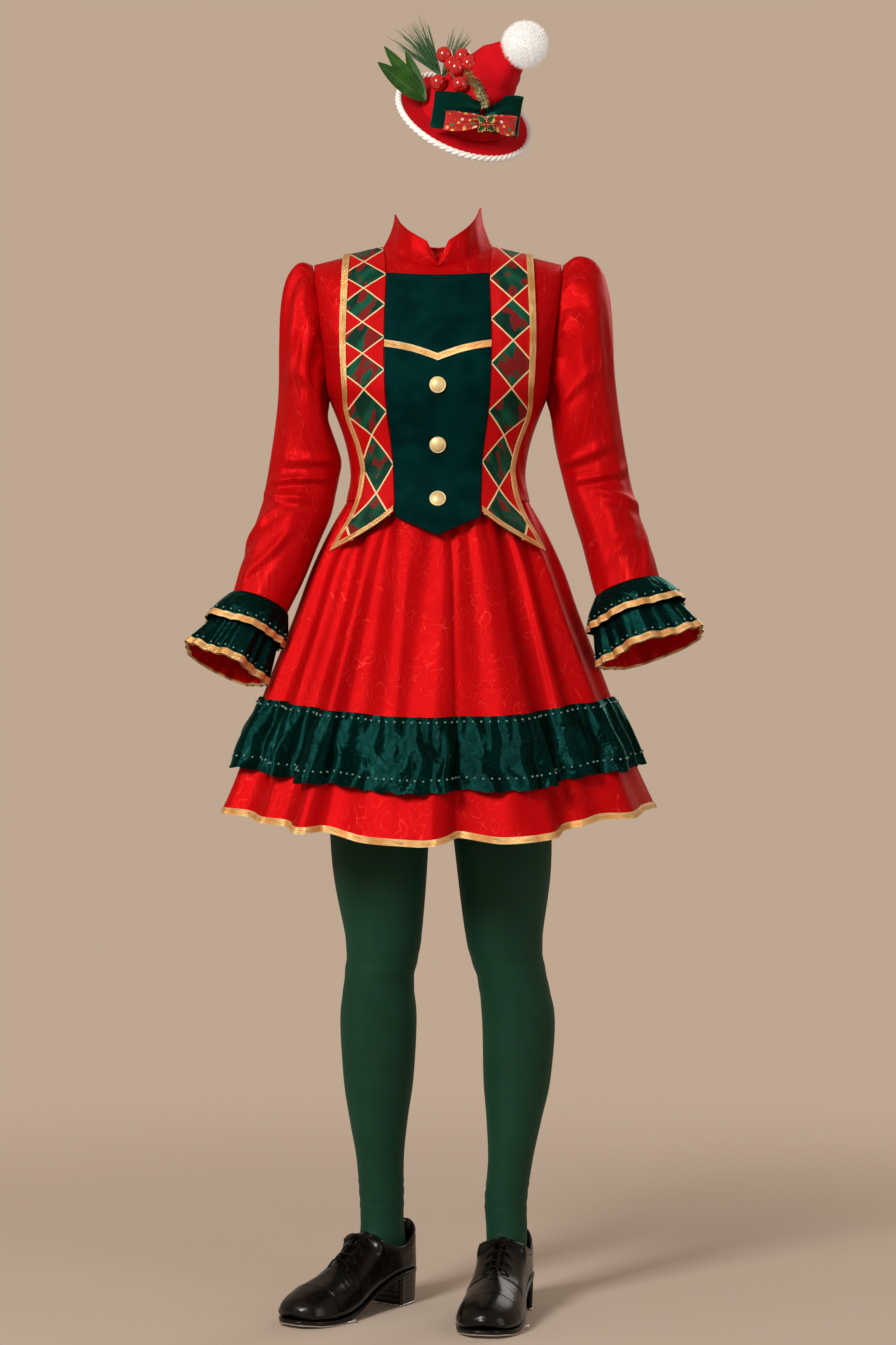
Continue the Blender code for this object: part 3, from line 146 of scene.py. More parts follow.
# Lower edges of the pieces that hang over the skirt, at the middle, plastron edge and outer edge
PLASTRON_POINT = 1029.0
PLASTRON_CORNER = 1054.0
HARLEQUIN_CORNER = 1061.0
HARLEQUIN_TIP = 1010.0

# Buttons
BUTTON_HEIGHTS = (1226.0, 1151.0, 1077.0)
BUTTON_RADIUS = 10.8
BUTTON_DEPTH = 5.0
BUTTON_SEAT = 0.9

# The button's half section: shares of its radius and depth
BUTTON_DOME = (
    (0, 0), (0.6, 0), (0.94, 0), (1, 0.12), (1, 0.26), (0.97, 0.36), (0.92, 0.38), (0.88, 0.33),
    (0.84, 0.38), (0.74, 0.56), (0.6, 0.74), (0.44, 0.87), (0.26, 0.96), (0.1, 1.0), (0, 1),
)


# How far a hanging piece stands off the skirt at its lower edge
HANG_CLEARANCE = 3.0


# Skirt: height at the side seam, size, and the depth of its gathers and broad folds
SKIRT = table("height half_width front back gather fold", """
    671 288 236 226 3 9
    733 262 214 206 4 7
    776 248 200 194 4.5 5.5
    820 231 186 180 5 4
    930 186 154 150 5 1.5
    1000 160 131 130 4 0
    1050 137 112 106 2 0
    1080 121 97 85 0 0
""")
HEM = 671.0
RUFFLE_ROWS = slice(1, 4)
HEM_DIP = {-1: 41.0, 1: 25.0}
GATHERS = 19
FOLDS = 11
FOLD_PHASE = 0.7
UNEVENNESS = 0.05
UNEVEN_PHASE = 0.6

# Sleeves: each ring by its outer and inner point in the front view, its middle and half depth,
# and the angle at which its front edge is raised
RING = "outer_x outer_h inner_x inner_h middle half_depth pitch"
SLEEVES = {
    "left": table(RING, """
        168.4 1396 147.0 1216 2.5 47.5 0
        183 1399 150 1206 2 56 0
        196 1380 151 1195 2 60 0
        204 1345 149 1184 1 59 0
        208 1297 144 1171 0 56 0
        211 1235 137 1152 0 52 0
        217 1175 132 1133 2 48 2
        223 1130 135 1112 3 46 4
        229 1098 139 1092 2 45 7
        237 1068 145 1064 -6 45 12
        250 1029 160 1027 -18 45 16
        262 988 180 976 -32 42 18
        270 955 202 931 -45 36 18
    """),
    "right": table(RING, """
        168.4 1396 147.0 1216 2.5 47.5 0
        188 1407 151 1206 2 56 0
        212 1398 153 1196 2 60 0
        226 1363 154 1187 1 60 0
        232 1310 155 1176 0 57 0
        236 1243 157 1161 0 52 0
        243 1185 161 1141 2 48 2
        251 1137 167 1118 3 46 4
        257 1103 172 1097 2 45 7
        265 1073 179 1070 -6 45 12
        277 1029 192 1029 -18 45 16
        287 999 203 987 -31 42 18
        293 974 212 951 -45 36 18
    """),
}
SLEEVE_PLEAT = (0.0, 3.0, 3.0, 2.0, 1.0)
SIDE = {"left": -1, "right": 1}

# Cuff ruffles: the seam, the edge of the upper ruffle and the edge of the lower one
CUFF_ROWS = "outer_x outer_h inner_x inner_h middle half_depth pitch wave"
CUFFS = {
    "left": table(CUFF_ROWS, """
        270 954 202 930 -45.5 36 18 0
        302 914 217 887 -57 45 18 3
        333 882 232 838 -67 52 18 6
    """),
    "right": table(CUFF_ROWS, """
        293 973 212 950 -45.5 36 18 0
        322 938 211 904 -57 46 18 3
        351 903 218 860 -67 52 18 6
    """),
}
CUFF_WAVES = 5
CUFF_SEAM_DROP = 0.8

# Tights: the part above the legs, then each leg down to the ankle
TIGHTS_TOP = table("height half_width front back", """
    830 150 96 104
    880 154 100 112
    950 145 98 106
    1010 130 97 93
    1072 123.7 99.8 89.4
""")
LEG = "height x y half_width half_depth"
LEGS = {
    "left": table(LEG, """
        145 -76 32 28.5 33
        198 -78 30 30 37
        252 -80 27 38 44
        305 -80 22 46 51
        386 -80 14 51 54
        440 -79 6 46 54
        493 -73 2 50 57
        600 -78 0 64 70
        770 -77.5 2 72 88
    """),
    "right": table(LEG, """
        145 91 2 28.5 33
        198 97 4 30 37
        252 102 8 37 44
        305 106 12 45 51
        386 108 10 49 54
        440 100 3 47 54
        493 89 0 51 57
        600 88 0 64 70
        770 78 2 72 88
    """),
}
LEG_COLUMNS = 12

# The leg turns with its foot from the first height down to the second
LEG_TURN = (800.0, 110.0)

# Shoes: where the heel stands, how far the toe turns to the viewer's left, and the upper's sections
SHOES = {"left": {"heel": (-45.0, 75.0), "turn": 36.0}, "right": {"heel": (101.0, 52.0), "turn": 10.0},}
UPPER = table("along half_width bottom shoulder_v shoulder top_v top crest", """
    4 20 46 18 100 8 104 105
    20 30 46 28 90 14 100 104
    45 34 45.5 32 79 16 95 102
    70 34 42 32 83 14 98 104
    92 33.5 35.5 30 90 9 99 103
    102 33.5 32 28 79 8 94 98
    117 34.5 26.5 28.5 67 8 85 89
    132 36.5 20.5 30 57.5 7.5 76 80
    147 39 15.5 32 50 7 67 70.5
    165 41 11 33.5 44 12 58 60.5
    185 42 8 34.5 39 16 51 53
    205 40.5 8 33 35 16 45.5 47.5
    225 35 9 28.5 31 13 39 41
    240 25 11 20 26 8 32 33.5
""")
UPPER_BACK = (0.0, 104.0)
UPPER_TOE = (249.0, 20.0)
FEATHER = 0.8
FEATHER_RISE = 5.0
WALL_SHARE = 0.45
TOPLINE_END = 92
THROAT_END = 147
SOLE = 5.0
SOLE_EDGE = 2.0
SOLE_BACK = (-2.0, 9.0)
SOLE_TIP = (251.0, 12.0)
SOLE_TIP_RISE = 1.0
TAP = 2.2
HEEL_STATIONS = (-1.0, 4.0, 20.0, 45.0, 56.0)
HEEL_INSET = 1.0
TOE_TAP_STATIONS = (168.0, 185.0, 205.0, 225.0, 240.0, 249.0)
TOE_TAP_INSET = 0.5
TONGUE = table("along rise half_width", """
    88 11 7
    91 6 7
    95 1.5 7
    102 0 10
    117 0 15
    132 0 15
    144 0 15
""")
TONGUE_DEPTH = 1.4
TONGUE_SLOPE = 0.7
TONGUE_THICKNESS = 1.8
LACE_RADIUS = 1.5
LACE_ROWS = (102.0, 117.0, 132.0, 147.0)
LACE_LIFTS = {"side": 3.0, "slit": 2.8, "vamp": 2.4}

# Feet of the tights: the front and back points of each ring, along the shoe and up
FOOT = table("front front_h back back_h half_width", """
    84 112 20 110 27.5
    87 99 15 88 27
    93 89 12 66 26
    103 80 20 52.5 26.5
    120 69 62 48.5 25
    140 58 108 35 27
    165 48 150 18.5 33
    195 43 190 11.2 34
    222 34 220 12.5 26
""")
FOOT_TIP = (236.0, 24.0)

# Hat: the middle of its brim, its own right and up directions, and the crown's sections
HAT_CENTRE = (37.0, -45.0, 1595.0)
HAT_RIGHT = (0.943, 0.299, -0.143)
HAT_UP = (0.31, -0.643, 0.70)
BRIM_RADIUS = 88.0
BRIM_DROOP = 6.0
PIPING_RADIUS = 3.6
CROWN = table("height x y radius", """
    -2.4 0 0 62
    18 1 -1 56
    39 4 -2 49
    60 10 -4 40
    80 18 -8 29
    95 26 -12 17
""")
CROWN_TIP = (29.5, -13.8, 102.3)
POMPOM_CENTRE = (36.6, -17.8, 128.4)
POMPOM_RADIUS = 33.0
POMPOM_CORE = 27.0
BOW_CENTRE = (4.0, -54.5, 31.0)
BOW_OUT = (0.0, -0.947, 0.32)

# Bow loops: where each starts, its length to the viewer's right, stand, swell and ribbon width
BOWS = {
    "green_left": (-3, -64, -4.2, 8, 44),
    "green_right": (3, 48, -3.1, 8, 44),
    "red_left": (-2.5, -50, 12, 6, 28),
    "red_right": (2.5, 40, 13.2, 6, 28),
}
TO_VIEWER_RIGHT = (0.943, -0.119, 0.31)
TO_VIEWER_UP = (-0.143, 0.7, 0.7)
HOLLY_STAND = 26.6
LEAVES_AT = (-62, -13, 12)
NEEDLES_AT = (-52.8, 13, 34)

BERRY_RADIUS = 10.7
BERRIES = table("right back up", """
    -57 10 73
    -35 4 80
    -27 -9 79
    -41 -9 69
    -47 -4 70
    -58 -11 43
    -36 -31 59
""")
BERRY_CORE = (-46.0, -12.0, 63.0)


def curve(keys, values, at):
    """A smooth line through the values at the keys, read at any places between them."""
    slopes = np.gradient(values, keys)
    at = np.clip(at, keys[0], keys[-1])
    first = np.clip(np.searchsorted(keys, at) - 1, 0, len(keys) - 2)
    span = keys[first + 1] - keys[first]
    t = (at - keys[first]) / span
    start = (2 * t**3 - 3 * t**2 + 1) * values[first] + (t**3 - 2 * t**2 + t) * span * slopes[first]
    end = (3 * t**2 - 2 * t**3) * values[first + 1] + (t**3 - t**2) * span * slopes[first + 1]
    return start + end


def read(source, name, at):
    """One named column of a table as a smooth function of its first column."""
    return curve(next(iter(source.values())), source[name], np.asarray(at, float))


def straight(source, name, at):
    """One named column of a table, read along straight lines."""
    return np.interp(at, next(iter(source.values())), source[name])


def outward(grid, axis, closed=False, level=False):
    """Unit normals of a grid on the side away from the axis points; level ones have no rise."""
    along = np.gradient(grid, axis=0)
    if closed:
        across = np.roll(grid, -1, axis=1) - np.roll(grid, 1, axis=1)
    else:
        across = np.gradient(grid, axis=1)
    normal = np.cross(along, across)
    if level:
        normal[..., 2] = 0
    normal /= np.linalg.norm(normal, axis=2, keepdims=True)
    return normal * np.sign(np.sum(normal * (grid - axis)))


def around(count):
    """Angles round a circle, in even steps."""
    return np.linspace(0, 2 * math.pi, count, endpoint=False)


def bell(value, middle, width):
    """A soft hump of height 1 at the middle."""
    return np.exp(-(((value - middle) / width) ** 2))


def circle(count):
    """Points round a circle of radius 1."""
    turn = around(count)
    return np.stack([np.cos(turn), np.sin(turn)], axis=1)


def mirrored(columns):
    """The columns of both halves, from the viewer's left to the right."""
    return np.array([-c for c in reversed(columns[1:])] + list(columns))


def half_width_at(face, column, height):
    """Distance from the middle of a torso column, given as its number without sign."""
    edge = read(TORSO, "half_width", height)
    if face < 0:
        first = read(EDGES, "plastron", height)
        second = read(EDGES, "harlequin", height)
        turn_at = 2
    else:
        rise = (height - WAIST) / (YOKE - WAIST)
        first = PRINCESS_SEAM["waist"] + rise * (PRINCESS_SEAM["yoke"] - PRINCESS_SEAM["waist"])
        second = first
        turn_at = 1
    turned = np.arcsin(second / edge)
    share = np.clip((column - turn_at) / (3 - turn_at), 0, 1)
    outer = edge * np.sin(turned + share * (math.pi / 2 - turned))
    inner = first * np.minimum(column, 1) + (second - first) * np.clip(column - 1, 0, 1)
    return np.where(column <= turn_at, inner, outer)


def chest(face, columns, heights):
    """Points of the torso up to the yoke; face is -1 for the front and 1 for the back."""
    columns, heights = np.meshgrid(columns, heights)
    edge = read(TORSO, "half_width", heights)
    depth = read(TORSO, "front" if face < 0 else "back", heights)
    x = half_width_at(face, abs(columns), heights)
    rise = np.clip((ARMPIT + ARMHOLE_HALF_HEIGHT - heights) / ARMHOLE_HALF_HEIGHT, -1, 1)
    edge_depth = ARMHOLE_DEPTH[face] * np.sqrt(1 - rise**2)
    flatness = np.sqrt(np.clip(1 - (x / edge) ** 2, 0, 1)) ** FLATNESS
    y = face * (edge_depth + (depth - edge_depth) * flatness)
    return np.stack([np.sign(columns) * x, y, heights], axis=2)


def neckline(face, columns):
    """Points of the neckline and the shoulder seam, by column."""
    source = FRONT_NECK if face < 0 else BACK_NECK
    size = abs(columns)
    on_neck = [straight(source, name, size) for name in ("x", "y", "height")]
    share = np.clip((size - 1) / 2, 0, 1)
    if face < 0:
        share = np.interp(size, (1, 2, 3), FRONT_SHOULDER_SHARES)
    on_shoulder = [a + (b - a) * share for a, b in zip(NECK_POINT, SHOULDER_TIP)]
    x, y, height = [np.where(size <= 1, a, b) for a, b in zip(on_neck, on_shoulder)]
    return np.stack([np.sign(columns) * x, y, height], axis=1)


def torso_axis(grid):
    """Points inside the torso, level with the grid's."""
    axis = grid * (0, 0, 1)
    axis[..., 2] = np.minimum(axis[..., 2], YOKE - 40)
    return axis


def skirt_size(height):
    """Half width, front and back depth, gather and fold of the skirt at a height."""
    return [read(SKIRT, name, height) for name in ("half_width", "front", "back", "gather", "fold")]


def skirt_grid(face, heights, columns):
    """Half of the skirt, with its gathers and broad folds, and its hem lower in the middle."""
    turn = np.linspace(-math.pi / 2, math.pi / 2, columns + 1)
    turn, heights = np.meshgrid(turn, np.array(heights, float))
    uneven = turn + UNEVENNESS * np.cos(turn) * np.sin(2 * turn + UNEVEN_PHASE)
    half_width, front, back, gather, fold = skirt_size(heights)
    depth = front if face < 0 else back
    wave = gather * np.sin(GATHERS * turn) + fold * np.cos(FOLDS * turn + FOLD_PHASE)
    x = (half_width + wave) * np.sin(uneven)
    y = face * (depth + wave) * np.cos(uneven)
    drop = HEM_DIP[face] * (WAIST - heights) / (WAIST - HEM) * np.cos(turn) ** 2
    grid = np.stack([x, y + face * GAP, heights - drop], axis=2)
    grid[-1, :, 2] -= GAP
    return grid


def over_skirt(columns, ends, shares, seams):
    """Rows of a piece that hangs over the skirt's gathers, from its lower edge up to the waist."""
    rows = []
    for share in shares:
        heights = WAIST + (ends - WAIST) * share
        half_width, depth, _, gather, _ = skirt_size(heights)
        x = seams(abs(columns), heights)
        clear = gather + HANG_CLEARANCE * share
        y = -(depth + clear) * np.sqrt(1 - (x / (half_width + clear)) ** 2)
        rows.append(np.stack([np.sign(columns) * x, y - GAP, heights], axis=1))
    return np.array(rows)


def front_seams(columns, heights):
    """Half widths of the front columns below the waist, up to the harlequin's outer edge."""
    first = read(EDGES, "plastron", heights)
    second = read(EDGES, "harlequin", heights)
    return first * np.minimum(columns, 1) + (second - first) * np.clip(columns - 1, 0, 1)


def ring_values(source, share):
    """Every named value of a sleeve or cuff at a share of the way down it."""
    keys = np.linspace(0, 1, len(source["middle"]))
    return {name: curve(keys, values, np.asarray(share, float)) for name, values in source.items()}


def ring_grid(source, sign, shares, columns):
    """Rings round an arm: the first column is the inner point and the next ones pass the front."""
    values = ring_values(source, shares)
    turn = around(columns)
    inner = np.stack([sign * values["inner_x"], values["middle"], values["inner_h"]], axis=1)
    outer = np.stack([sign * values["outer_x"], values["middle"], values["outer_h"]], axis=1)
    pitch = np.radians(values["pitch"])
    forward = np.stack([0 * pitch, -np.cos(pitch), np.sin(pitch)], axis=1) * values["half_depth"][:, None]
    middle = (inner + outer) / 2
    half = (outer - inner) / 2
    grid = (
        middle[:, None]
        - half[:, None] * np.cos(turn)[None, :, None]
        + forward[:, None] * np.sin(turn)[None, :, None]
    )
    return grid, middle[:, None]


def leg_ring(x, y, height, half_width, half_depth, turn_out):
    """A ring round a leg, turned with the foot; the first point is the front one."""
    turn = around(LEG_COLUMNS)
    right = half_width * np.sin(turn)
    ahead = half_depth * np.cos(turn)
    toward = np.array((-math.sin(turn_out), -math.cos(turn_out), 0))
    across = np.array((math.cos(turn_out), -math.sin(turn_out), 0))
    return np.array((x, y, height)) + ahead[:, None] * toward + right[:, None] * across


def crotch_ring(sign):
    """The leg's first ring: half of the tights' top, closed by a straight inner side."""
    share = np.arange(LEG_COLUMNS) / (LEG_COLUMNS // 2)
    half_width, front, back = [TIGHTS_TOP[name][0] for name in ("half_width", "front", "back")]
    inside = KNIT
    turn = math.pi * share
    depth = np.where(np.cos(turn) > 0, front, back)
    outer = np.stack([inside + (half_width - inside) * np.sin(turn), -depth * np.cos(turn)], axis=1)
    inner = np.stack([inside + 0 * share, back - (front + back) * (share - 1)], axis=1)
    flat = np.where(share[:, None] <= 1, outer, inner)
    if sign < 0:
        flat = np.roll(flat[::-1], 1, axis=0) * (-1, 1)
    height = np.full((LEG_COLUMNS, 1), TIGHTS_TOP["height"][0] - GAP)
    return np.concatenate([flat, height], axis=1)


def upper_row(along):
    """Which of the upper's sections is at this place along the shoe."""
    return int(np.flatnonzero(UPPER["along"] == along)[0])


def in_shoe(side, along, across, height):
    """A point of the shoe's own frame: along from the heel, across to the viewer's right, and up."""
    heel_x, heel_y = SHOES[side]["heel"]
    turn = math.radians(SHOES[side]["turn"])
    x = heel_x - along * math.sin(turn) + across * math.cos(turn)
    y = heel_y - along * math.cos(turn) - across * math.sin(turn)
    return np.stack(np.broadcast_arrays(x, y, height), axis=-1)


def upper_sections():
    """The upper's outer points across and up at each section: bottom, wall, instep, and back round."""
    names = ("half_width", "bottom", "shoulder_v", "shoulder", "top_v", "top", "crest")
    wide, bottom, shoulder_v, shoulder, top_v, top, crest = [UPPER[name] for name in names]
    half = [
        (0 * wide, bottom),
        (FEATHER * wide, bottom),
        (wide, bottom + FEATHER_RISE),
        (wide, bottom + WALL_SHARE * (shoulder - bottom)),
        (shoulder_v, shoulder),
        (top_v, top),
        (0 * wide, crest),
    ]
    across = [v for v, _ in half] + [-v for v, _ in half[-2:0:-1]]
    up = [w for _, w in half] + [w for _, w in half[-2:0:-1]]
    return np.array(across).T, np.array(up).T


def hat_matrix():
    """The hat's own frame: right, back and up from the middle of its brim."""
    up = Vector(HAT_UP).normalized()
    right = Vector(HAT_RIGHT)
    right = (right - up * right.dot(up)).normalized()
    back = up.cross(right)
    return np.array((right, back, up)).T


def on_hat(points):
    """Points of the hat's frame, in millimetres above the floor."""
    return np.asarray(points, float) @ hat_matrix().T + np.array(HAT_CENTRE)


def brim_height(radius):
    """How far the brim hangs below its own middle."""
    return -BRIM_DROOP * (radius / BRIM_RADIUS) ** 2


def bow_frame():
    """Right, out and along the band's width, on the crown's sloping front."""
    out = Vector(BOW_OUT).normalized()
    right = Vector((1, 0, 0))
    return np.array((right, out, out.cross(right)))


# Making nodes and meshes


def add(tree, kind, inputs=None, **settings):
    """A shader node with its settings, and its inputs given as values or as other nodes' outputs."""
    node = tree.nodes.new(f"ShaderNode{kind}")
    for key, value in settings.items():
        setattr(node, key, value)
    for key, value in (inputs or {}).items():
        if isinstance(value, bpy.types.NodeSocket):
            tree.links.new(value, node.inputs[key])
        else:
            node.inputs[key].default_value = value
    return node


def maths(tree, operation, *values):
    """The result of a sum on values or other nodes' outputs."""
    return add(tree, "Math", dict(enumerate(values)), operation=operation).outputs[0]


def between(tree, value, low, high, to_low=0.0, to_high=1.0):
    """The value's place between low and high, kept within the two ends."""
    inputs = {"Value": value, "From Min": low, "From Max": high, "To Min": to_low, "To Max": to_high}
    return add(tree, "MapRange", inputs).outputs[0]


def blend_colours(tree, share, *colours):
    """Two colours mixed by a share; each is three plain parts or another node's output."""
    ends = [c if isinstance(c, bpy.types.NodeSocket) else (*c, 1) for c in colours]
    return add(tree, "Mix", {0: share, 6: ends[0], 7: ends[1]}, data_type="RGBA").outputs[2]


def shared(name, inputs, outputs):
    """A new node group with its sockets, its input and output nodes, ready to be filled."""
    tree = bpy.data.node_groups.new(name, "ShaderNodeTree")
    for label, value in inputs.items():
        kind = "NodeSocketVector" if value is None else "NodeSocketFloat"
        made = tree.interface.new_socket(name=label, in_out="INPUT", socket_type=kind)
        if value is not None:
            made.default_value = value
    for label in outputs:
        tree.interface.new_socket(name=label, in_out="OUTPUT", socket_type="NodeSocketFloat")
    return tree, tree.nodes.new("NodeGroupInput").outputs, tree.nodes.new("NodeGroupOutput").inputs


def use(tree, name, **inputs):
    """The outputs of a shared group placed in a material."""
    node = tree.nodes.new("ShaderNodeGroup")
    node.node_tree = bpy.data.node_groups[name]
    for key, value in inputs.items():
        if isinstance(value, bpy.types.NodeSocket):
            tree.links.new(value, node.inputs[key])
        else:
            node.inputs[key].default_value = value
    return node.outputs


# Pitch of the woven and knitted threads, and the rows of stitches across a ribbon, in metres
SATIN_PITCH, RIBBON_PITCH, KNIT_PITCH = 0.0011, 0.0009, 0.0013
STITCH_ROWS = (0.0011, 0.0078)


def noise(tree, places, scale, detail=2.0, **more):
    """A noise texture's value over the places."""
    return add(tree, "TexNoise", {"Vector": places, "Scale": scale, "Detail": detail, **more}).outputs[0]


def parts_of(tree, vector):
    """The three parts of a vector."""
    return add(tree, "SeparateXYZ", {"Vector": vector}).outputs


def times(tree, vector, factors):
    """A vector whose parts are multiplied by their own factors."""
    return add(tree, "VectorMath", {0: vector, 1: factors}, operation="MULTIPLY").outputs[0]


def apart(tree, value, place):
    """How far a value is from a place."""
    return maths(tree, "ABSOLUTE", maths(tree, "SUBTRACT", value, place))


def weave(tree, places, pitch):
    """The height of woven threads at this pitch."""
    return use(tree, "threads", Cloth=places, Pitch=pitch)["Height"]


def mottled(tree, places, scale, deep, bright):
    """A mottle over the places, and the two colours mixed by it."""
    mottle = use(tree, "mottle", Cloth=places, Scale=scale)
    return mottle, blend_colours(tree, mottle["Shade"], deep, bright)


def fine_between(tree, mottle, low, high):
    """A roughness that follows the fine part of the mottle."""
    return between(tree, mottle["Fine"], 0.3, 0.7, low, high)


def build_shared_effects():
    """The effects that several looks share: weave, mottle, swirls, pile, leather grain and stitches."""
    tree, given, made = shared("threads", {"Cloth": None, "Pitch": 0.001}, ("Height",))
    parts = parts_of(tree, given["Cloth"])
    turns = maths(tree, "DIVIDE", 2 * math.pi, given["Pitch"])
    warp, weft = [maths(tree, "SINE", maths(tree, "MULTIPLY", parts[n], turns)) for n in (0, 1)]
    tree.links.new(maths(tree, "MULTIPLY_ADD", warp, weft, 0.5), made["Height"])

    tree, given, made = shared("mottle", {"Cloth": None, "Scale": 20.0}, ("Shade", "Fine"))
    broad = noise(tree, given["Cloth"], given["Scale"], 3.0)
    fine = noise(tree, given["Cloth"], maths(tree, "MULTIPLY", given["Scale"], 18.0))
    tree.links.new(between(tree, broad, 0.3, 0.7), made["Shade"])
    tree.links.new(fine, made["Fine"])

    tree, given, made = shared("swirls", {"Cloth": None, "Size": 0.05, "Width": 0.045}, ("Line",))
    bent = add(tree, "TexNoise", {"Vector": given["Cloth"], "Scale": 70.0, "Detail": 1.0}).outputs[1]
    shift = add(tree, "VectorMath", {0: bent, 3: 0.02}, operation="SCALE").outputs[0]
    moved = add(tree, "VectorMath", {0: given["Cloth"], 1: shift}, operation="ADD").outputs[0]
    scale = maths(tree, "DIVIDE", 1.0, given["Size"])
    field = noise(tree, times(tree, moved, (1.9, 1.0, 1.0)), scale, 0.0)
    off = apart(tree, maths(tree, "FRACT", maths(tree, "MULTIPLY", field, 7.0)), 0.5)
    line = between(tree, off, given["Width"], 0.0)
    patches = between(tree, noise(tree, given["Cloth"], 17.0, 0.0), 0.38, 0.5)
    tree.links.new(maths(tree, "MULTIPLY", line, patches), made["Line"])

    tree, given, made = shared("pile", {"Place": None, "Scale": 900.0}, ("Height", "Shade"))
    hairs = noise(tree, given["Place"], given["Scale"])
    brushed = noise(tree, given["Place"], maths(tree, "MULTIPLY", given["Scale"], 0.03))
    tree.links.new(hairs, made["Height"])
    tree.links.new(between(tree, brushed, 0.35, 0.65), made["Shade"])

    tree, given, made = shared("grain", {"Place": None, "Scale": 700.0}, ("Height", "Shade"))
    cells = add(tree, "TexVoronoi", {"Vector": given["Place"], "Scale": given["Scale"]}).outputs[0]
    creases = noise(tree, given["Place"], 90.0, 3.0)
    tree.links.new(maths(tree, "MULTIPLY_ADD", creases, 1.5, cells), made["Height"])
    tree.links.new(between(tree, creases, 0.4, 0.65), made["Shade"])

    labels = {"Cloth": None, "Place": 0.0012, "Pitch": 0.004}
    tree, given, made = shared("stitches", labels, ("Stitch",))
    parts = parts_of(tree, given["Cloth"])
    row = between(tree, apart(tree, parts[1], given["Place"]), 0.0005, 0.0003)
    step = maths(tree, "FRACT", maths(tree, "DIVIDE", parts[0], given["Pitch"]))
    dash = between(tree, apart(tree, step, 0.5), 0.36, 0.3)
    tree.links.new(maths(tree, "MULTIPLY", row, dash), made["Stitch"])


def cloth_places(tree):
    """Where each point lies on its flat cloth, in metres."""
    return add(tree, "UVMap", uv_map="cloth").outputs[0]


def object_places(tree):
    """Where each point is in the costume, in metres."""
    return add(tree, "TexCoord").outputs["Object"]


def bumped(tree, height, strength, distance, **more):
    """A normal tilted by a height that changes over the surface."""
    inputs = {"Height": height, "Strength": strength, "Distance": distance, **more}
    return add(tree, "Bump", inputs).outputs[0]


def new_look(name, roughness=0.5, metallic=0.0, **values):
    """A material whose shader's own sockets hold what is the same all over."""
    made = bpy.data.materials.new(name)
    made.use_nodes = True
    shader = made.node_tree.nodes["Principled BSDF"]
    shader.inputs["Roughness"].default_value = roughness
    shader.inputs["Metallic"].default_value = metallic
    for label, value in values.items():
        shader.inputs[label.replace("_", " ")].default_value = value
    return made.node_tree, shader.inputs


def feed(tree, shader, colour, roughness=None, normal=None):
    """Leads a look's colour, roughness and normal into its shader."""
    for label, value in (("Base Color", colour), ("Roughness", roughness), ("Normal", normal)):
        if value is not None:
            tree.links.new(value, shader[label])


def satin(name, deep, bright, line, roughness, shine, swirls=0.0, crumple=0.0):
    """Glossy woven satin whose highlights take its colour, with tone-on-tone swirls of the given size."""
    tint = [0.25 + 0.75 * part / max(line) for part in line]
    tree, shader = new_look(name, roughness, shine, Specular_IOR_Level=0.12, Specular_Tint=(*tint, 1))
    places = cloth_places(tree)
    mottle, colour = mottled(tree, places, 7.0, deep, bright)
    height = maths(tree, "MULTIPLY_ADD", mottle["Fine"], 0.5, weave(tree, places, SATIN_PITCH))
    rough = fine_between(tree, mottle, roughness - 0.04, roughness + 0.06)
    if swirls:
        swirl = use(tree, "swirls", Cloth=places, Size=swirls)["Line"]
        colour = blend_colours(tree, maths(tree, "MULTIPLY", swirl, 0.4), colour, line)
        height = maths(tree, "MULTIPLY_ADD", swirl, 1.6, height)
        rough = maths(tree, "MULTIPLY_ADD", swirl, -0.08, rough)
    normal = bumped(tree, height, 0.3, 0.0002)
    if crumple:
        waves = noise(tree, places, 55.0, 1.0, Distortion=1.0)
        normal = bumped(tree, waves, 0.7, crumple, Normal=normal)
    feed(tree, shader, colour, rough, normal)


def velvet(name, deep, bright):
    """Dense dark pile whose few highlights are cool."""
    tree, shader = new_look(name, 0.6, Specular_IOR_Level=0.06, Specular_Tint=(0.1, 0.9, 0.85, 1),
                            Sheen_Weight=0.05, Sheen_Roughness=0.3, Sheen_Tint=(0.02, 0.3, 0.27, 1))
    pile = use(tree, "pile", Place=object_places(tree), Scale=1100.0)
    colour = blend_colours(tree, pile["Shade"], deep, bright)
    feed(tree, shader, colour, normal=bumped(tree, pile["Height"], 0.5, 0.0005))


def ribbon(name):
    """Metallic gold ribbon with a row of stitches near each edge, and painted streaks and glints of highlight
    and shade along it.
    """
    tree, shader = new_look(name, 0.32, 0.5, Specular_IOR_Level=0.5)
    places = cloth_places(tree)
    mottle = use(tree, "mottle", Cloth=places, Scale=60.0)
    across = parts_of(tree, places)[1]
    middle = between(tree, apart(tree, across, RIBBON_WIDTH * MM / 2), 0.003, 0.002)
    # Painted highlight and shade: pale and dark orange streaks along the ribbon, in place of its shiny
    # reflections
    painted_streak = between(tree, noise(tree, times(tree, places, (70.0, 900.0, 1.0)), 1.0), 0.4, 0.6)
    tone = blend_colours(tree, painted_streak, (1.0, 0.66, 0.27), (0.68, 0.3, 0.07))
    colour = blend_colours(tree, middle, (1.0, 0.76, 0.38), tone)
    # Painted reflections: stretches of the ribbon darkened toward copper between brighter ones, as a metallic
    # ribbon's glints would give
    broad = noise(tree, times(tree, places, (26.0, 0.0, 1.0)), 1.0, 1.0)
    colour = blend_colours(tree, between(tree, broad, 0.46, 0.58, 0.0, 0.6), colour, (0.66, 0.26, 0.05))
    rows = [use(tree, "stitches", Cloth=places, Place=place)["Stitch"] for place in STITCH_ROWS]
    stitch = maths(tree, "MAXIMUM", *rows)
    colour = blend_colours(tree, maths(tree, "MULTIPLY", stitch, 0.6), colour, (0.4, 0.2, 0.04))
    height = maths(tree, "MULTIPLY_ADD", stitch, -2.0, weave(tree, places, RIBBON_PITCH))
    feed(tree, shader, colour, fine_between(tree, mottle, 0.24, 0.4), bumped(tree, height, 0.4, 0.0003))


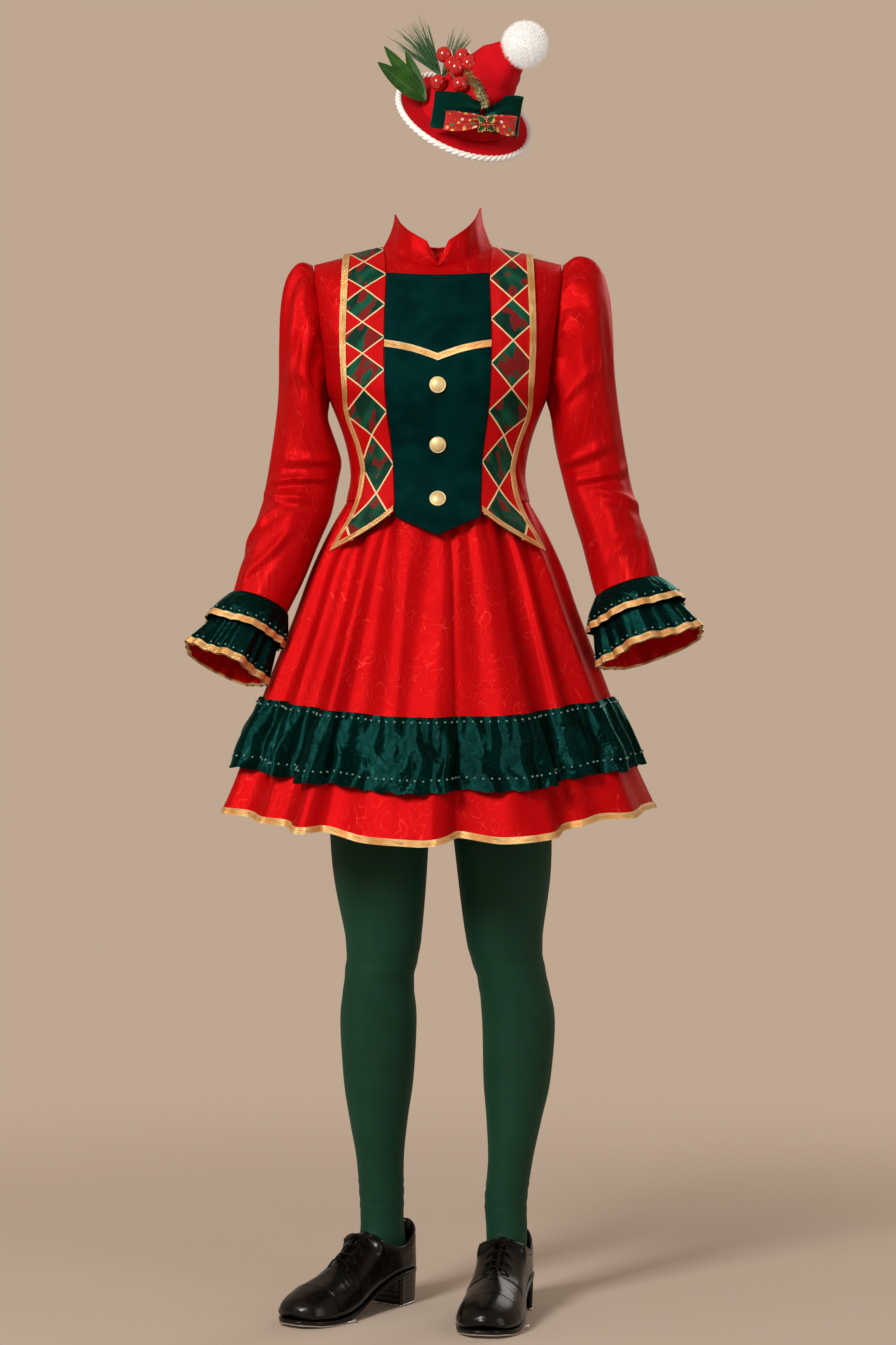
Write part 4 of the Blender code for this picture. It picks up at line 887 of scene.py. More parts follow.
def harlequin_cloth(name):
    """Green diamonds in a column on red, with cream and gold lines; u is across and v counts diamonds."""
    tree, shader = new_look(name, 0.42, 0.15, Specular_IOR_Level=0.1)
    parts = parts_of(tree, add(tree, "UVMap", uv_map="diamonds").outputs[0])
    across = maths(tree, "ABSOLUTE", parts[0])
    along = maths(tree, "MULTIPLY", apart(tree, maths(tree, "FRACT", parts[1]), 0.5), 2.0)
    inside = maths(tree, "SUBTRACT", 1.0, maths(tree, "ADD", across, along))
    diamond = between(tree, inside, -0.01, 0.01)
    line = between(tree, maths(tree, "ABSOLUTE", inside), 0.055, 0.035)
    places = cloth_places(tree)
    patch = between(tree, noise(tree, places, 32.0, Distortion=0.6), 0.53, 0.56)
    spots = between(tree, noise(tree, places, 30.0, 1.0), 0.4, 0.6)
    green = blend_colours(tree, spots, (0.002, 0.034, 0.022), (0.006, 0.1, 0.055))
    printed = blend_colours(tree, patch, green, (0.22, 0.013, 0.013))
    mottle, red = mottled(tree, places, 16.0, (0.54, 0.002, 0.004), (0.68, 0.004, 0.006))
    colour = blend_colours(tree, line, blend_colours(tree, diamond, red, printed), (0.95, 0.74, 0.4))
    height = maths(tree, "MULTIPLY_ADD", line, 3.0, weave(tree, places, SATIN_PITCH))
    feed(tree, shader, colour, fine_between(tree, mottle, 0.36, 0.5), bumped(tree, height, 0.4, 0.0003))


def knit(name):
    """Fine opaque knit, a little lighter where it faces away."""
    tree, shader = new_look(name, 0.68, Sheen_Weight=0.12, Sheen_Roughness=0.5, Sheen_Tint=(0.1, 0.5, 0.3, 1),
                            Specular_IOR_Level=0.25)
    places = cloth_places(tree)
    _, colour = mottled(tree, places, 9.0, (0.0014, 0.034, 0.016), (0.003, 0.048, 0.024))
    feed(tree, shader, colour, normal=bumped(tree, weave(tree, places, KNIT_PITCH), 0.25, 0.0002))


def leather(name, deep, worn, roughness):
    """Polished leather with a fine grain and a few creases."""
    tree, shader = new_look(name, roughness, Coat_Weight=0.15, Coat_Roughness=0.15, Specular_IOR_Level=0.25)
    places = object_places(tree)
    grain = use(tree, "grain", Place=places, Scale=650.0)
    mottle = use(tree, "mottle", Cloth=places, Scale=30.0)
    colour = blend_colours(tree, maths(tree, "MULTIPLY", grain["Shade"], mottle["Shade"]), deep, worn)
    rough = fine_between(tree, mottle, roughness - 0.06, roughness + 0.08)
    feed(tree, shader, colour, rough, bumped(tree, grain["Height"], 0.04, 0.0002))


def metal(name, colour, roughness, metallic=1.0):
    """Worn metal or foil, a little darker and rougher in places."""
    tree, shader = new_look(name, roughness, metallic)
    mottle, tint = mottled(tree, object_places(tree), 80.0, [c * 0.8 for c in colour], colour)
    rough = fine_between(tree, mottle, roughness, roughness + 0.14)
    feed(tree, shader, tint, rough, bumped(tree, mottle["Fine"], 0.12, 0.0002))


def fuzzy(name, deep, bright, scale, sheen, painted_glow=0.0):
    """Felt, pile or braid: a matt fibre surface, with a painted glow, an emission that brightens white fibres
    as the light they pass on would.
    """
    # Painted glow: a white emission in place of the light that white fibres pass on
    tree, shader = new_look(name, 0.88, Sheen_Weight=sheen, Sheen_Roughness=0.5, Specular_IOR_Level=0.15,
                            Emission_Color=(1, 1, 1, 1), Emission_Strength=painted_glow)
    pile = use(tree, "pile", Place=object_places(tree), Scale=scale)
    share = maths(tree, "MULTIPLY", pile["Shade"], pile["Height"])
    colour = blend_colours(tree, maths(tree, "ADD", share, 0.2), deep, bright)
    feed(tree, shader, colour, normal=bumped(tree, pile["Height"], 0.7, 0.0008))


def leaf_look(name, deep, bright, edge=None):
    """Leaf cloth with a midrib and side veins; u runs from -1 to 1 across and v along."""
    tree, shader = new_look(name, 0.45, Coat_Weight=0.05, Specular_IOR_Level=0.25)
    parts = parts_of(tree, cloth_places(tree))
    across = maths(tree, "ABSOLUTE", parts[0])
    slant = [maths(tree, "MULTIPLY", parts[1], 9.0), maths(tree, "MULTIPLY", across, 2.0)]
    vein = between(tree, apart(tree, maths(tree, "FRACT", maths(tree, "SUBTRACT", *slant)), 0.5), 0.12, 0.0)
    rib = between(tree, across, 0.1, 0.03)
    marks = maths(tree, "MAXIMUM", rib, maths(tree, "MULTIPLY", vein, 0.45))
    mottle, colour = mottled(tree, object_places(tree), 60.0, deep, bright)
    colour = blend_colours(tree, maths(tree, "MULTIPLY", marks, 0.4), colour, (0.12, 0.26, 0.08))
    if edge:
        colour = blend_colours(tree, between(tree, across, 0.72, 0.8), colour, edge)
    height = maths(tree, "SUBTRACT", mottle["Fine"], marks)
    feed(tree, shader, colour, normal=bumped(tree, height, 0.4, 0.0004))


def spotted_ribbon(name):
    """Red satin ribbon with small generic spots in gold, green and white."""
    tree, shader = new_look(name, 0.34, Sheen_Weight=0.1)
    places = cloth_places(tree)
    cells = add(tree, "TexVoronoi", {"Vector": places, "Scale": 140.0, "Randomness": 0.9}).outputs
    spot = between(tree, cells[0], 0.38, 0.32)
    pick = add(tree, "SeparateColor", {"Color": cells[1]}).outputs[0]
    motif = blend_colours(tree, between(tree, pick, 0.4, 0.42), (0.85, 0.55, 0.15), (0.02, 0.22, 0.08))
    motif = blend_colours(tree, between(tree, pick, 0.75, 0.77), motif, (0.9, 0.85, 0.75))
    colour = blend_colours(tree, spot, (0.6, 0.015, 0.015), motif)
    feed(tree, shader, colour, normal=bumped(tree, weave(tree, places, RIBBON_PITCH), 0.3, 0.0002))


def smooth_shine(name, colour, roughness):
    """Berries and beads: glossy, with a slightly uneven surface."""
    tree, shader = new_look(name, roughness, Coat_Weight=1.0, Coat_Roughness=0.03)
    mottle, tint = mottled(tree, object_places(tree), 120.0, [c * 0.75 for c in colour], colour)
    feed(tree, shader, tint, normal=bumped(tree, mottle["Fine"], 0.1, 0.0003))


def build_looks():
    """Every look, with its deep and its bright colour."""
    build_shared_effects()
    satin("dress satin", (0.47, 0.002, 0.004), (0.60, 0.003, 0.005), (0.95, 0.07, 0.05), 0.38, 0.3, 0.05)
    satin("ruffle satin", (0.0003, 0.009, 0.008), (0.0006, 0.021, 0.019), (0.02, 0.14, 0.12), 0.15, 0.65,
          0.04, 0.0022)
    satin("bow satin", (0.001, 0.034, 0.025), (0.003, 0.06, 0.045), (0.03, 0.2, 0.15), 0.24, 0.4)
    velvet("plastron velvet", (0.0002, 0.011, 0.011), (0.0005, 0.022, 0.021))
    harlequin_cloth("harlequin cloth")
    ribbon("gold ribbon")
    knit("tights knit")
    metal("button gold", (1.0, 0.79, 0.4), 0.4, 0.3)
    metal("tap metal", (0.72, 0.71, 0.69), 0.24)
    metal("gold tinsel", (1.0, 0.84, 0.46), 0.4, 0.1)
    leather("shoe leather", (0.002, 0.0018, 0.0018), (0.011, 0.006, 0.004), 0.26)
    leather("sole stack", (0.002, 0.0018, 0.0016), (0.008, 0.005, 0.004), 0.3)
    fuzzy("lace cord", (0.002, 0.002, 0.002), (0.01, 0.009, 0.008), 1800.0, 0.0)
    fuzzy("hat felt", (0.46, 0.001, 0.006), (0.74, 0.003, 0.012), 700.0, 0.0)
    # The white braid and the fluff get a painted glow: their last value is its emission strength
    fuzzy("white braid", (0.86, 0.84, 0.79), (0.98, 0.97, 0.94), 900.0, 0.2, 0.08)
    fuzzy("white fluff", (0.95, 0.95, 0.94), (0.99, 0.99, 0.98), 500.0, 0.4, 0.09)
    leaf_look("laurel leaf", (0.008, 0.045, 0.004), (0.03, 0.12, 0.012))
    leaf_look("holly leaf", (0.008, 0.07, 0.02), (0.02, 0.15, 0.04), (0.85, 0.6, 0.2))
    leaf_look("pine needle", (0.008, 0.06, 0.04), (0.03, 0.13, 0.08))
    spotted_ribbon("spotted ribbon")
    smooth_shine("berry", (0.62, 0.008, 0.008), 0.16)
    smooth_shine("bead", (0.16, 0.34, 0.3), 0.15)


# Angle in degrees above which a piece's edges are shaded sharp
SHARP = 50


def unit(vectors):
    """Vectors brought to length 1."""
    return vectors / np.linalg.norm(vectors, axis=-1, keepdims=True)


def smooth_share(value, low, high):
    """0 below low, 1 above high and a soft rise between them."""
    t = np.clip((value - low) / (high - low), 0, 1)
    return t * t * (3 - 2 * t)


def placed(name, data):
    """A new object in the scene."""
    made = bpy.data.objects.new(name, data)
    bpy.context.scene.collection.objects.link(made)
    return made


def new_piece(name, part, look, sharp=SHARP):
    """A piece from points in millimetres above the floor; it rides with the costume."""
    points, faces, places = part
    points = (np.asarray(points, float) - (0, 0, SHOULDER_HEIGHT)) * MM
    mesh = bpy.data.meshes.new(name)
    mesh.from_pydata(points.tolist(), [], [[int(v) for v in face] for face in faces])
    for label, spots in places.items():
        mesh.uv_layers.new(name=label).data.foreach_set("uv", np.asarray(spots, np.float32).ravel())
    mesh.materials.append(bpy.data.materials[look])
    mesh.shade_smooth()
    mesh.set_sharp_from_angle(angle=math.radians(sharp))
    piece = placed(name, mesh)
    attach(piece, "root")
    return piece


def stand_in(name, part, look, sharp=SHARP):
    """A piece in place of the solid that has its name."""
    piece = new_piece(name, part, look, sharp)
    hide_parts(name)
    return piece


def merged(parts):
    """Several parts as one."""
    points = []
    faces = []
    places = []
    count = 0
    for some_points, some_faces, some_places in parts:
        points.append(some_points)
        faces += [[v + count for v in face] for face in some_faces]
        places.append(some_places["cloth"])
        count += len(some_points)
    return np.concatenate(points), faces, {"cloth": np.concatenate(places)}


def flat_places(grid, closed=False):
    """Where each point of a grid lies on its flat cloth, in metres, from the middle of its first row."""
    wide = np.concatenate([grid, grid[:, :1]], axis=1) if closed else grid
    across = np.linalg.norm(np.diff(wide, axis=1), axis=2)
    across = np.insert(np.cumsum(across, axis=1), 0, 0, axis=1)
    across -= across[:, [across.shape[1] // 2]]
    along = np.linalg.norm(np.diff(wide, axis=0), axis=2)
    along = np.insert(np.cumsum(along, axis=0), 0, 0, axis=0)
    return np.stack([across, along], axis=2) * MM


def faces_inward(points, faces):
    """Whether the faces of a closed form point into it."""
    fans = [(face[0], face[n], face[n + 1]) for face in faces for n in range(1, len(face) - 1)]
    centred = points - points.mean(axis=0)
    return np.linalg.det(centred[np.array(fans)]).sum() < 0


def skin_part(outer, inner, closed=False, keep=None, poles=(False, False), extra=None):
    """A thin closed wall of cloth or leather between two grids of points, with its flat places."""
    rows, columns = outer.shape[:2]
    index = np.arange(rows * columns).reshape(rows, columns)
    if poles[0]:
        index[0] = index[0, 0]
    if poles[1]:
        index[-1] = index[-1, 0]
    front = []
    for i in range(rows - 1):
        for j in range(columns if closed else columns - 1):
            if keep is not None and not keep(i, j):
                continue
            k = (j + 1) % columns
            corners = [(index[i, j], i, j), (index[i, k], i, j + 1)]
            corners += [(index[i + 1, k], i + 1, j + 1), (index[i + 1, j], i + 1, j)]
            front.append([c for n, c in enumerate(corners) if c[0] != corners[n - 1][0]])
    sides = {}
    for corners in front:
        for a, b in zip(corners, corners[1:] + corners[:1]):
            sides[a[0], b[0]] = (a, b)
    under = rows * columns
    every = front + [[(v + under, i, j) for v, i, j in reversed(corners)] for corners in front]
    for (a, b), (first, second) in sides.items():
        if (b, a) not in sides:
            every.append([second, first, (a + under, *first[1:]), (b + under, *second[1:])])
    points = np.concatenate([outer.reshape(-1, 3), inner.reshape(-1, 3)])
    if faces_inward(points, [[corner[0] for corner in face] for face in every]):
        every = [face[::-1] for face in every]
    spots = {"cloth": flat_places(outer, closed), **(extra or {})}
    loops = np.array([corner for face in every for corner in face])
    places = {label: grid[loops[:, 1], loops[:, 2]] for label, grid in spots.items()}
    used, renamed = np.unique(loops[:, 0], return_inverse=True)
    ends = np.cumsum([len(face) for face in every])
    faces = [part.tolist() for part in np.split(renamed.ravel(), ends[:-1])]
    return points[used], faces, places


def closed_part(rings):
    """A filled form from rings whose first and last are single points."""
    columns = rings.shape[1]
    thin = rings[1:-1]
    index = np.arange(len(thin) * columns).reshape(-1, columns)
    every = []
    for i in range(-1, len(thin)):
        for j in range(columns):
            k = (j + 1) % columns
            low = [(index[i, j], i, j), (index[i, k], i, j + 1)] if i >= 0 else [(index.size, i, j)]
            high = [(index.size + 1, i + 1, j)]
            if i + 1 < len(thin):
                high = [(index[i + 1, k], i + 1, j + 1), (index[i + 1, j], i + 1, j)]
            every.append(low + high)
    points = np.concatenate([thin.reshape(-1, 3), rings[:1, 0], rings[-1:, 0]])
    if faces_inward(points, [[corner[0] for corner in face] for face in every]):
        every = [face[::-1] for face in every]
    place = flat_places(rings, True)
    spots = np.array([place[i + 1, j] for face in every for _, i, j in face])
    return points, [[int(corner[0]) for corner in face] for face in every], {"cloth": spots}


def rope(path, guide, radius, sides, closed=False):
    """Rings round a path; the first point of each lies toward its guide direction."""
    path = np.asarray(path, float)
    ahead = np.roll(path, -1, axis=0) - np.roll(path, 1, axis=0) if closed else np.gradient(path, axis=0)
    ahead = unit(ahead)
    guide = np.broadcast_to(guide, path.shape)
    across = unit(guide - ahead * np.sum(ahead * guide, axis=1, keepdims=True))
    other = np.cross(ahead, across)
    size = np.broadcast_to(np.asarray(radius, float), len(path))[:, None, None]
    turn = circle(sides)
    return path[:, None] + size * (turn[None, :, :1] * across[:, None] + turn[None, :, 1:] * other[:, None])


def tube_part(rings, closed=False):
    """A filled tube from its rings, with flat ends or joined into a loop."""
    count, sides = rings.shape[:2]
    i, j = np.meshgrid(np.arange(count if closed else count - 1), np.arange(sides), indexing="ij")
    i = i.ravel()
    j = j.ravel()
    k = (i + 1) % count
    m = (j + 1) % sides
    faces = np.stack([i * sides + j, i * sides + m, k * sides + m, k * sides + j], axis=1).tolist()
    span = np.linalg.norm(rings[0, 0] - rings[0, 1]) * MM
    step = np.linalg.norm(rings[1].mean(axis=0) - rings[0].mean(axis=0)) * MM
    spots = np.stack([j, i, j + 1, i, j + 1, i + 1, j, i + 1], axis=1).reshape(-1, 2) * (span, step)
    if not closed:
        faces += [list(range(sides))[::-1], list(range((count - 1) * sides, count * sides))]
        spots = np.concatenate([spots, np.zeros((2 * sides, 2))])
    return rings.reshape(-1, 3), faces, {"cloth": spots}


def cord_part(path, guide, radius, sides, closed=False):
    """A cord along a path, with flat ends or joined into a loop."""
    return tube_part(rope(path, guide, radius, sides, closed), closed)


def ball(subdivisions):
    """Points and triangles of a ball of radius 1."""
    mesh = bmesh.new()
    bmesh.ops.create_icosphere(mesh, subdivisions=subdivisions, radius=1)
    points = np.array([vert.co for vert in mesh.verts])
    faces = np.array([[vert.index for vert in face.verts] for face in mesh.faces])
    mesh.free()
    return points, faces


def scattered(template, faces, frames, centres):
    """Copies of a small form, each turned by its own frame's rows and moved to its centre."""
    points = np.einsum("pi,nij->npj", template, frames) + centres[:, None]
    faces = np.asarray(faces)[None] + np.arange(len(centres))[:, None, None] * len(template)
    faces = faces.reshape(-1, faces.shape[-1])
    return points.reshape(-1, 3), faces.tolist(), {"cloth": np.zeros((faces.size, 2))}


def spread_along(path, spacing, closed=False):
    """Points at even steps along a path."""
    if closed:
        path = np.concatenate([path, path[:1]])
    reach = np.insert(np.cumsum(np.linalg.norm(np.diff(path, axis=0), axis=1)), 0, 0)
    count = max(2, int(reach[-1] / spacing))
    at = np.linspace(0, reach[-1], count, endpoint=not closed)
    return np.stack([np.interp(at, reach, path[:, n]) for n in range(3)], axis=1)


def beads_part(path, radius, spacing, closed=False):
    """A row of round beads along a path."""
    centres = spread_along(path, spacing, closed)
    points, faces = ball(2)
    frames = np.broadcast_to(np.eye(3) * radius, (len(centres), 3, 3))
    return scattered(points, faces, frames, centres)


def refined(cage, count, axis=0, closed=False, poles=False):
    """A cage read at more places along one axis, on smooth curves through its points."""
    cage = np.moveaxis(np.asarray(cage, float), axis, 0)
    size = len(cage)
    if closed:
        at = np.arange(count) * size / count
        first = at.astype(int)
        near = [cage[(first + k) % size] for k in (-1, 0, 1, 2)]
    else:
        at = np.linspace(0, size - 1, count)
        first = np.minimum(at.astype(int), size - 2)
        before = 2 * cage[:1] - cage[1:2]
        after = 2 * cage[-1:] - cage[-2:-1]
        if poles:
            half = cage.shape[1] // 2
            before = np.roll(cage[1:2], half, axis=1)
            after = np.roll(cage[-2:-1], half, axis=1)
        padded = np.concatenate([before, cage, after])
        near = [padded[first + k] for k in range(4)]
    t = (at - first).reshape(-1, *[1] * (cage.ndim - 1))
    a, b, c, d = near
    made = b + t / 2 * (c - a + t * (2 * a - 5 * b + 4 * c - d + t * (3 * (b - c) + d - a)))
    return np.moveaxis(made, 0, axis)


def softened(grid, rows, passes):
    """The grid with some of its rows eased toward their neighbours."""
    grid = grid.copy()
    for _ in range(passes):
        middle = (grid[rows.start - 1 : rows.stop - 1] + grid[rows.start + 1 : rows.stop + 1]) / 2
        grid[rows] = (grid[rows] + middle) / 2
    return grid


def fold_relief(rows, columns, size, lines, closed=False):
    """Heights of soft folds over a grid. Each line goes from one place to another, in shares across and
    down, with its height and width in millimetres; size is what the grid measures across and down."""
    across = np.arange(columns) / (columns if closed else columns - 1)
    across, down = np.meshgrid(across, np.arange(rows) / (rows - 1))
    relief = np.zeros((rows, columns))
    for u0, v0, u1, v1, height, width in lines:
        off = across - (u0 + u1) / 2
        if closed:
            off = (off + 0.5) % 1 - 0.5
        here = np.stack([off * size[0], (down - (v0 + v1) / 2) * size[1]], axis=2)
        way = np.array(((u1 - u0) * size[0], (v1 - v0) * size[1]))
        length = np.linalg.norm(way)
        way /= length
        along = here @ way / (0.5 * length)
        aside = (here @ np.array((-way[1], way[0])) + width * 0.5 * along**2) / width
        ridge = np.exp(-(aside**2)) - 0.55 * np.exp(-((aside - 1.7) ** 2))
        relief += height * ridge * np.exp(-(along**4))
    return relief


def unevenness(rows, columns, size, seed, closed=False):
    """A slow, irregular rise and fall over a grid, of about 1 millimetre."""
    random = np.random.default_rng(seed)
    across = np.arange(columns) / (columns if closed else columns - 1)
    across, down = np.meshgrid(across, np.arange(rows) / (rows - 1))
    relief = 0 * across
    for _ in range(9):
        waves = random.integers(1, 6) if closed else random.uniform(0.5, 5)
        drop = random.uniform(-3, 3)
        phase = random.uniform(0, 2 * math.pi)
        relief += np.sin(2 * math.pi * (waves * across + drop * down) + phase) / 3
    return relief * size


def turned_to_hat(frames):
    """Frames whose rows are given in the hat's own directions, turned with the hat."""
    return np.stack([np.einsum("ij,nj->ni", hat_matrix(), frames[:, n]) for n in range(3)], axis=1)


def band_grids(edge, inward, normals, low, width=RIBBON_WIDTH, thickness=RIBBON, swell=0.25):
    """Outer and inner points of a ribbon along an edge: five lines across it, a little domed."""
    share = np.linspace(0, 1, 5)[:, None, None]
    line = edge + inward * width * share
    under = line + normals * (low + swell * np.sin(math.pi * share))
    return under + normals * thickness, under


# Dress body
HALF_COLUMNS = 60

# Folds of each half bodice: from and to, in shares out from the middle and up, with height and width
BODICE_FOLDS = (
    (0.42, 0.02, 0.32, 0.16, 1.1, 5),
    (0.45, 0.10, 0.33, 0.26, 0.9, 5),
    (0.42, 0.32, 0.32, 0.46, 0.9, 6),
    (0.40, 0.62, 0.26, 0.52, 1.2, 6),
    (0.40, 0.72, 0.28, 0.64, 0.9, 6),
)
BACK_FOLDS = (
    (0.04, 0.06, 0.20, 0.12, 1.0, 6),
    (0.08, 0.16, 0.26, 0.20, 0.8, 6),
    (0.06, 0.70, 0.20, 0.62, 1.2, 8),
)
BODY_HEIGHTS = np.linspace(WAIST, YOKE, 47)
HANG_SHARES = np.linspace(1, 0.06, 14)
SLOPE_SHARES = np.linspace(0, 1, 12)[1:]
PANEL_COLUMNS = 18
PANEL_SEAT = CLOTH + GAP + 0.6

# Where the harlequin's diamonds meet, up from its tip
DIAMOND_ENDS = {
    "left": (1006, 1087, 1165, 1224, 1269, 1310, 1356, 1393, 1430),
    "right": (1006, 1094, 1165, 1225, 1286, 1341, 1397, 1450),
}


def bodice_surface(face, columns):
    """The front or back from the waist to the neckline, eased where the shoulder slope begins."""
    body = chest(face, columns, BODY_HEIGHTS)
    top = neckline(face, columns)
    rows = [body]
    for share in SLOPE_SHARES:
        swell = SLOPE_BULGE * math.sin(math.pi * share) * np.minimum(abs(columns), 1)
        row = body[-1] + (top - body[-1]) * share
        rows.append((row + swell[:, None] * np.array((0, face, 1)) / math.sqrt(2))[None])
    grid = np.concatenate(rows)
    count = len(BODY_HEIGHTS)
    grid = softened(grid, slice(count - 6, count + 5), 10)
    grid[..., 1] += face * GAP
    return grid


def make_bodice(name, face):
    """The front or back of the bodice, with drag folds at the waist and armholes."""
    columns = mirrored(np.linspace(0, 3, HALF_COLUMNS + 1))
    grid = bodice_surface(face, columns)
    normal = outward(grid, torso_axis(grid))
    lines = []
    for side in (-1, 1):
        for start, from_up, end, to_up, height, width in BODICE_FOLDS + (BACK_FOLDS if face > 0 else ()):
            lines.append((0.5 + side * start, from_up, 0.5 + side * end, to_up, height, width))
    relief = fold_relief(*grid.shape[:2], (420, 340), lines)
    thick = np.clip(CLOTH + relief, 1.1, 3.4)
    thick = thick + (CLOTH - thick) * smooth_share(abs(columns), 2.9, 3)
    piece = stand_in(f"bodice_{name}", skin_part(grid + normal * thick[..., None], grid), "dress satin")
    others = [make_back_closure(grid, normal)] if face > 0 else []


def make_back_closure(grid, normal):
    """The lapped placket of the back opening."""
    middle = grid.shape[1] // 2
    edge = grid[1:-1, middle - 2]
    over = unit(grid[1:-1, middle + 1] - grid[1:-1, middle - 2])
    outer, inner = band_grids(edge, over, normal[1:-1, middle], CLOTH + 0.2, 12.0, 0.9, 0.3)
    return new_piece("back_placket", skin_part(outer, inner), "dress satin")


def hanging_grid(columns, ends, with_slope):
    """Points under a front piece, from its hanging lower edge up over the bodice."""
    hanging = over_skirt(columns, ends, HANG_SHARES, front_seams)
    body = bodice_surface(-1, columns)
    if not with_slope:
        body = body[: len(BODY_HEIGHTS)]
    grid = np.concatenate([hanging, body])
    joint = len(HANG_SHARES)
    return softened(grid, slice(joint - 5, joint + 6), 14)


def make_plastron():
    """The velvet front panel that hangs in a point over the skirt, with its band and buttons."""
    columns = np.linspace(-1, 1, 45)
    ends = PLASTRON_POINT + (PLASTRON_CORNER - PLASTRON_POINT) * abs(columns)
    grid = hanging_grid(columns, ends, False)
    normal = outward(grid, torso_axis(grid))
    low = PANEL_SEAT
    rows, count = grid.shape[:2]
    edge = np.minimum(smooth_share(1 - abs(columns), 0, 0.06), 1)[None, :] * 0.5 + 0.5
    thick = VELVET * edge + 0.3 * unevenness(rows, count, 0.5, 3)
    piece = stand_in("plastron", skin_part(grid + normal * (low + thick)[..., None], grid + normal * low),
                     "plastron velvet")
    trim = make_trim(grid, normal, columns)
    for number, height in enumerate(BUTTON_HEIGHTS, 1):
        make_button(number, height, grid, normal)


def at_height(grid, normal, column, height):
    """The point and normal of one column of a grid at a height."""
    heights = grid[:, column, 2]
    point = np.array([np.interp(height, heights, grid[:, column, n]) for n in range(3)])
    out = np.array([np.interp(height, heights, normal[:, column, n]) for n in range(3)])
    return point, out / np.linalg.norm(out)


# Height of the V-shaped band at the middle and at the edge, and how far it bows up between them
TRIM_LOW, TRIM_HIGH, TRIM_BOW = 1262.0, 1281.0, 2.5


def make_trim(grid, normal, columns):
    """The gold band that arches twice across the plastron and meets in a point."""
    size = abs(columns)
    middle = TRIM_LOW + (TRIM_HIGH - TRIM_LOW) * size + TRIM_BOW * np.sin(math.pi * size)
    found = [[at_height(grid, normal, c, h + share * RIBBON_WIDTH) for c, h in enumerate(middle)]
             for share in np.linspace(-0.5, 0.5, 5)]
    line, lifts = np.moveaxis(np.array(found), 2, 0)
    swell = 0.25 * np.sin(math.pi * np.linspace(0, 1, 5))[:, None, None]
    under = line + lifts * (CLOTH + VELVET + 3 * GAP + swell)
    return stand_in("plastron_trim", skin_part(under + lifts * RIBBON, under), "gold ribbon")


def make_button(number, height, grid, normal):
    """A domed gold button with a thin raised rim."""
    point, out = at_height(grid, normal, grid.shape[1] // 2, height)
    turned = np.array(Vector(out).to_track_quat("Z", "Y").to_matrix())
    rim = circle(72)
    rows = []
    for radius, rise in BUTTON_DOME:
        up = np.full((len(rim), 1), BUTTON_DEPTH * rise)
        rows.append(np.concatenate([radius * BUTTON_RADIUS * rim, up], axis=1))
    seat = CLOTH + VELVET + 2 * GAP + BUTTON_SEAT
    stand_in(f"button_{number}", closed_part(np.array(rows) @ turned.T + point + out * seat), "button gold")


def make_harlequin(side):
    """A harlequin panel from the shoulder seam over the waist, with its gold binding."""
    sign = SIDE[side]
    size = np.linspace(1.02, 2, PANEL_COLUMNS)
    columns = sign * size
    if sign < 0:
        columns = columns[::-1]
        size = size[::-1]
    ends = HARLEQUIN_CORNER + (HARLEQUIN_TIP - HARLEQUIN_CORNER) * (size - 1)
    grid = hanging_grid(columns, ends, True)
    grid[-1] += (grid[-2] - grid[-1]) * 0.15
    normal = outward(grid, torso_axis(grid))
    low = PANEL_SEAT
    rows, count = grid.shape[:2]
    thick = VELVET + unevenness(rows, count, 0.25, 5 + sign)
    across = np.broadcast_to((2 * (size - 1) - 1)[None], (rows, count))
    heights = grid[..., 2]
    number = np.interp(heights, DIAMOND_ENDS[side], range(len(DIAMOND_ENDS[side])))
    extra = {"diamonds": np.stack([across, number], axis=2)}
    part = skin_part(grid + normal * (low + thick)[..., None], grid + normal * low, extra=extra)
    piece = stand_in(f"harlequin_{side}", part, "harlequin cloth")
    outer = count - 1 if sign > 0 else 0
    step = -1 if sign > 0 else 1
    bottom = range(0, count) if sign > 0 else range(count - 1, -1, -1)
    edge = [grid[0, column] for column in bottom]
    inward = [unit(grid[2, column] - grid[0, column]) for column in bottom]
    lifts = [normal[0, column] for column in bottom]
    side_way = unit(grid[:, outer + 2 * step] - grid[:, outer])
    inward[-1] = inward[-1] + side_way[0]
    edge += list(grid[1:, outer])
    inward += list(side_way[1:])
    lifts += list(normal[1:, outer])
    raised, under = band_grids(np.array(edge), np.array(inward), np.array(lifts), low + VELVET + 0.5)
    binding = stand_in(f"harlequin_binding_{side}", skin_part(raised, under), "gold ribbon")


# How far the collar's top edge leans out from the neckline and rises over it, by column
COLLAR_ROWS = "column lean rise"
COLLAR = {
    -1: table(COLLAR_ROWS, """
        0 1 1.5
        0.19 4 32
        0.47 2 38
        0.75 -6 43
        1 -16 49
    """),
    1: table(COLLAR_ROWS, """
        0 2 18
        0.5 -1 20
        0.83 -9 30
        1 -16 49
    """),
}


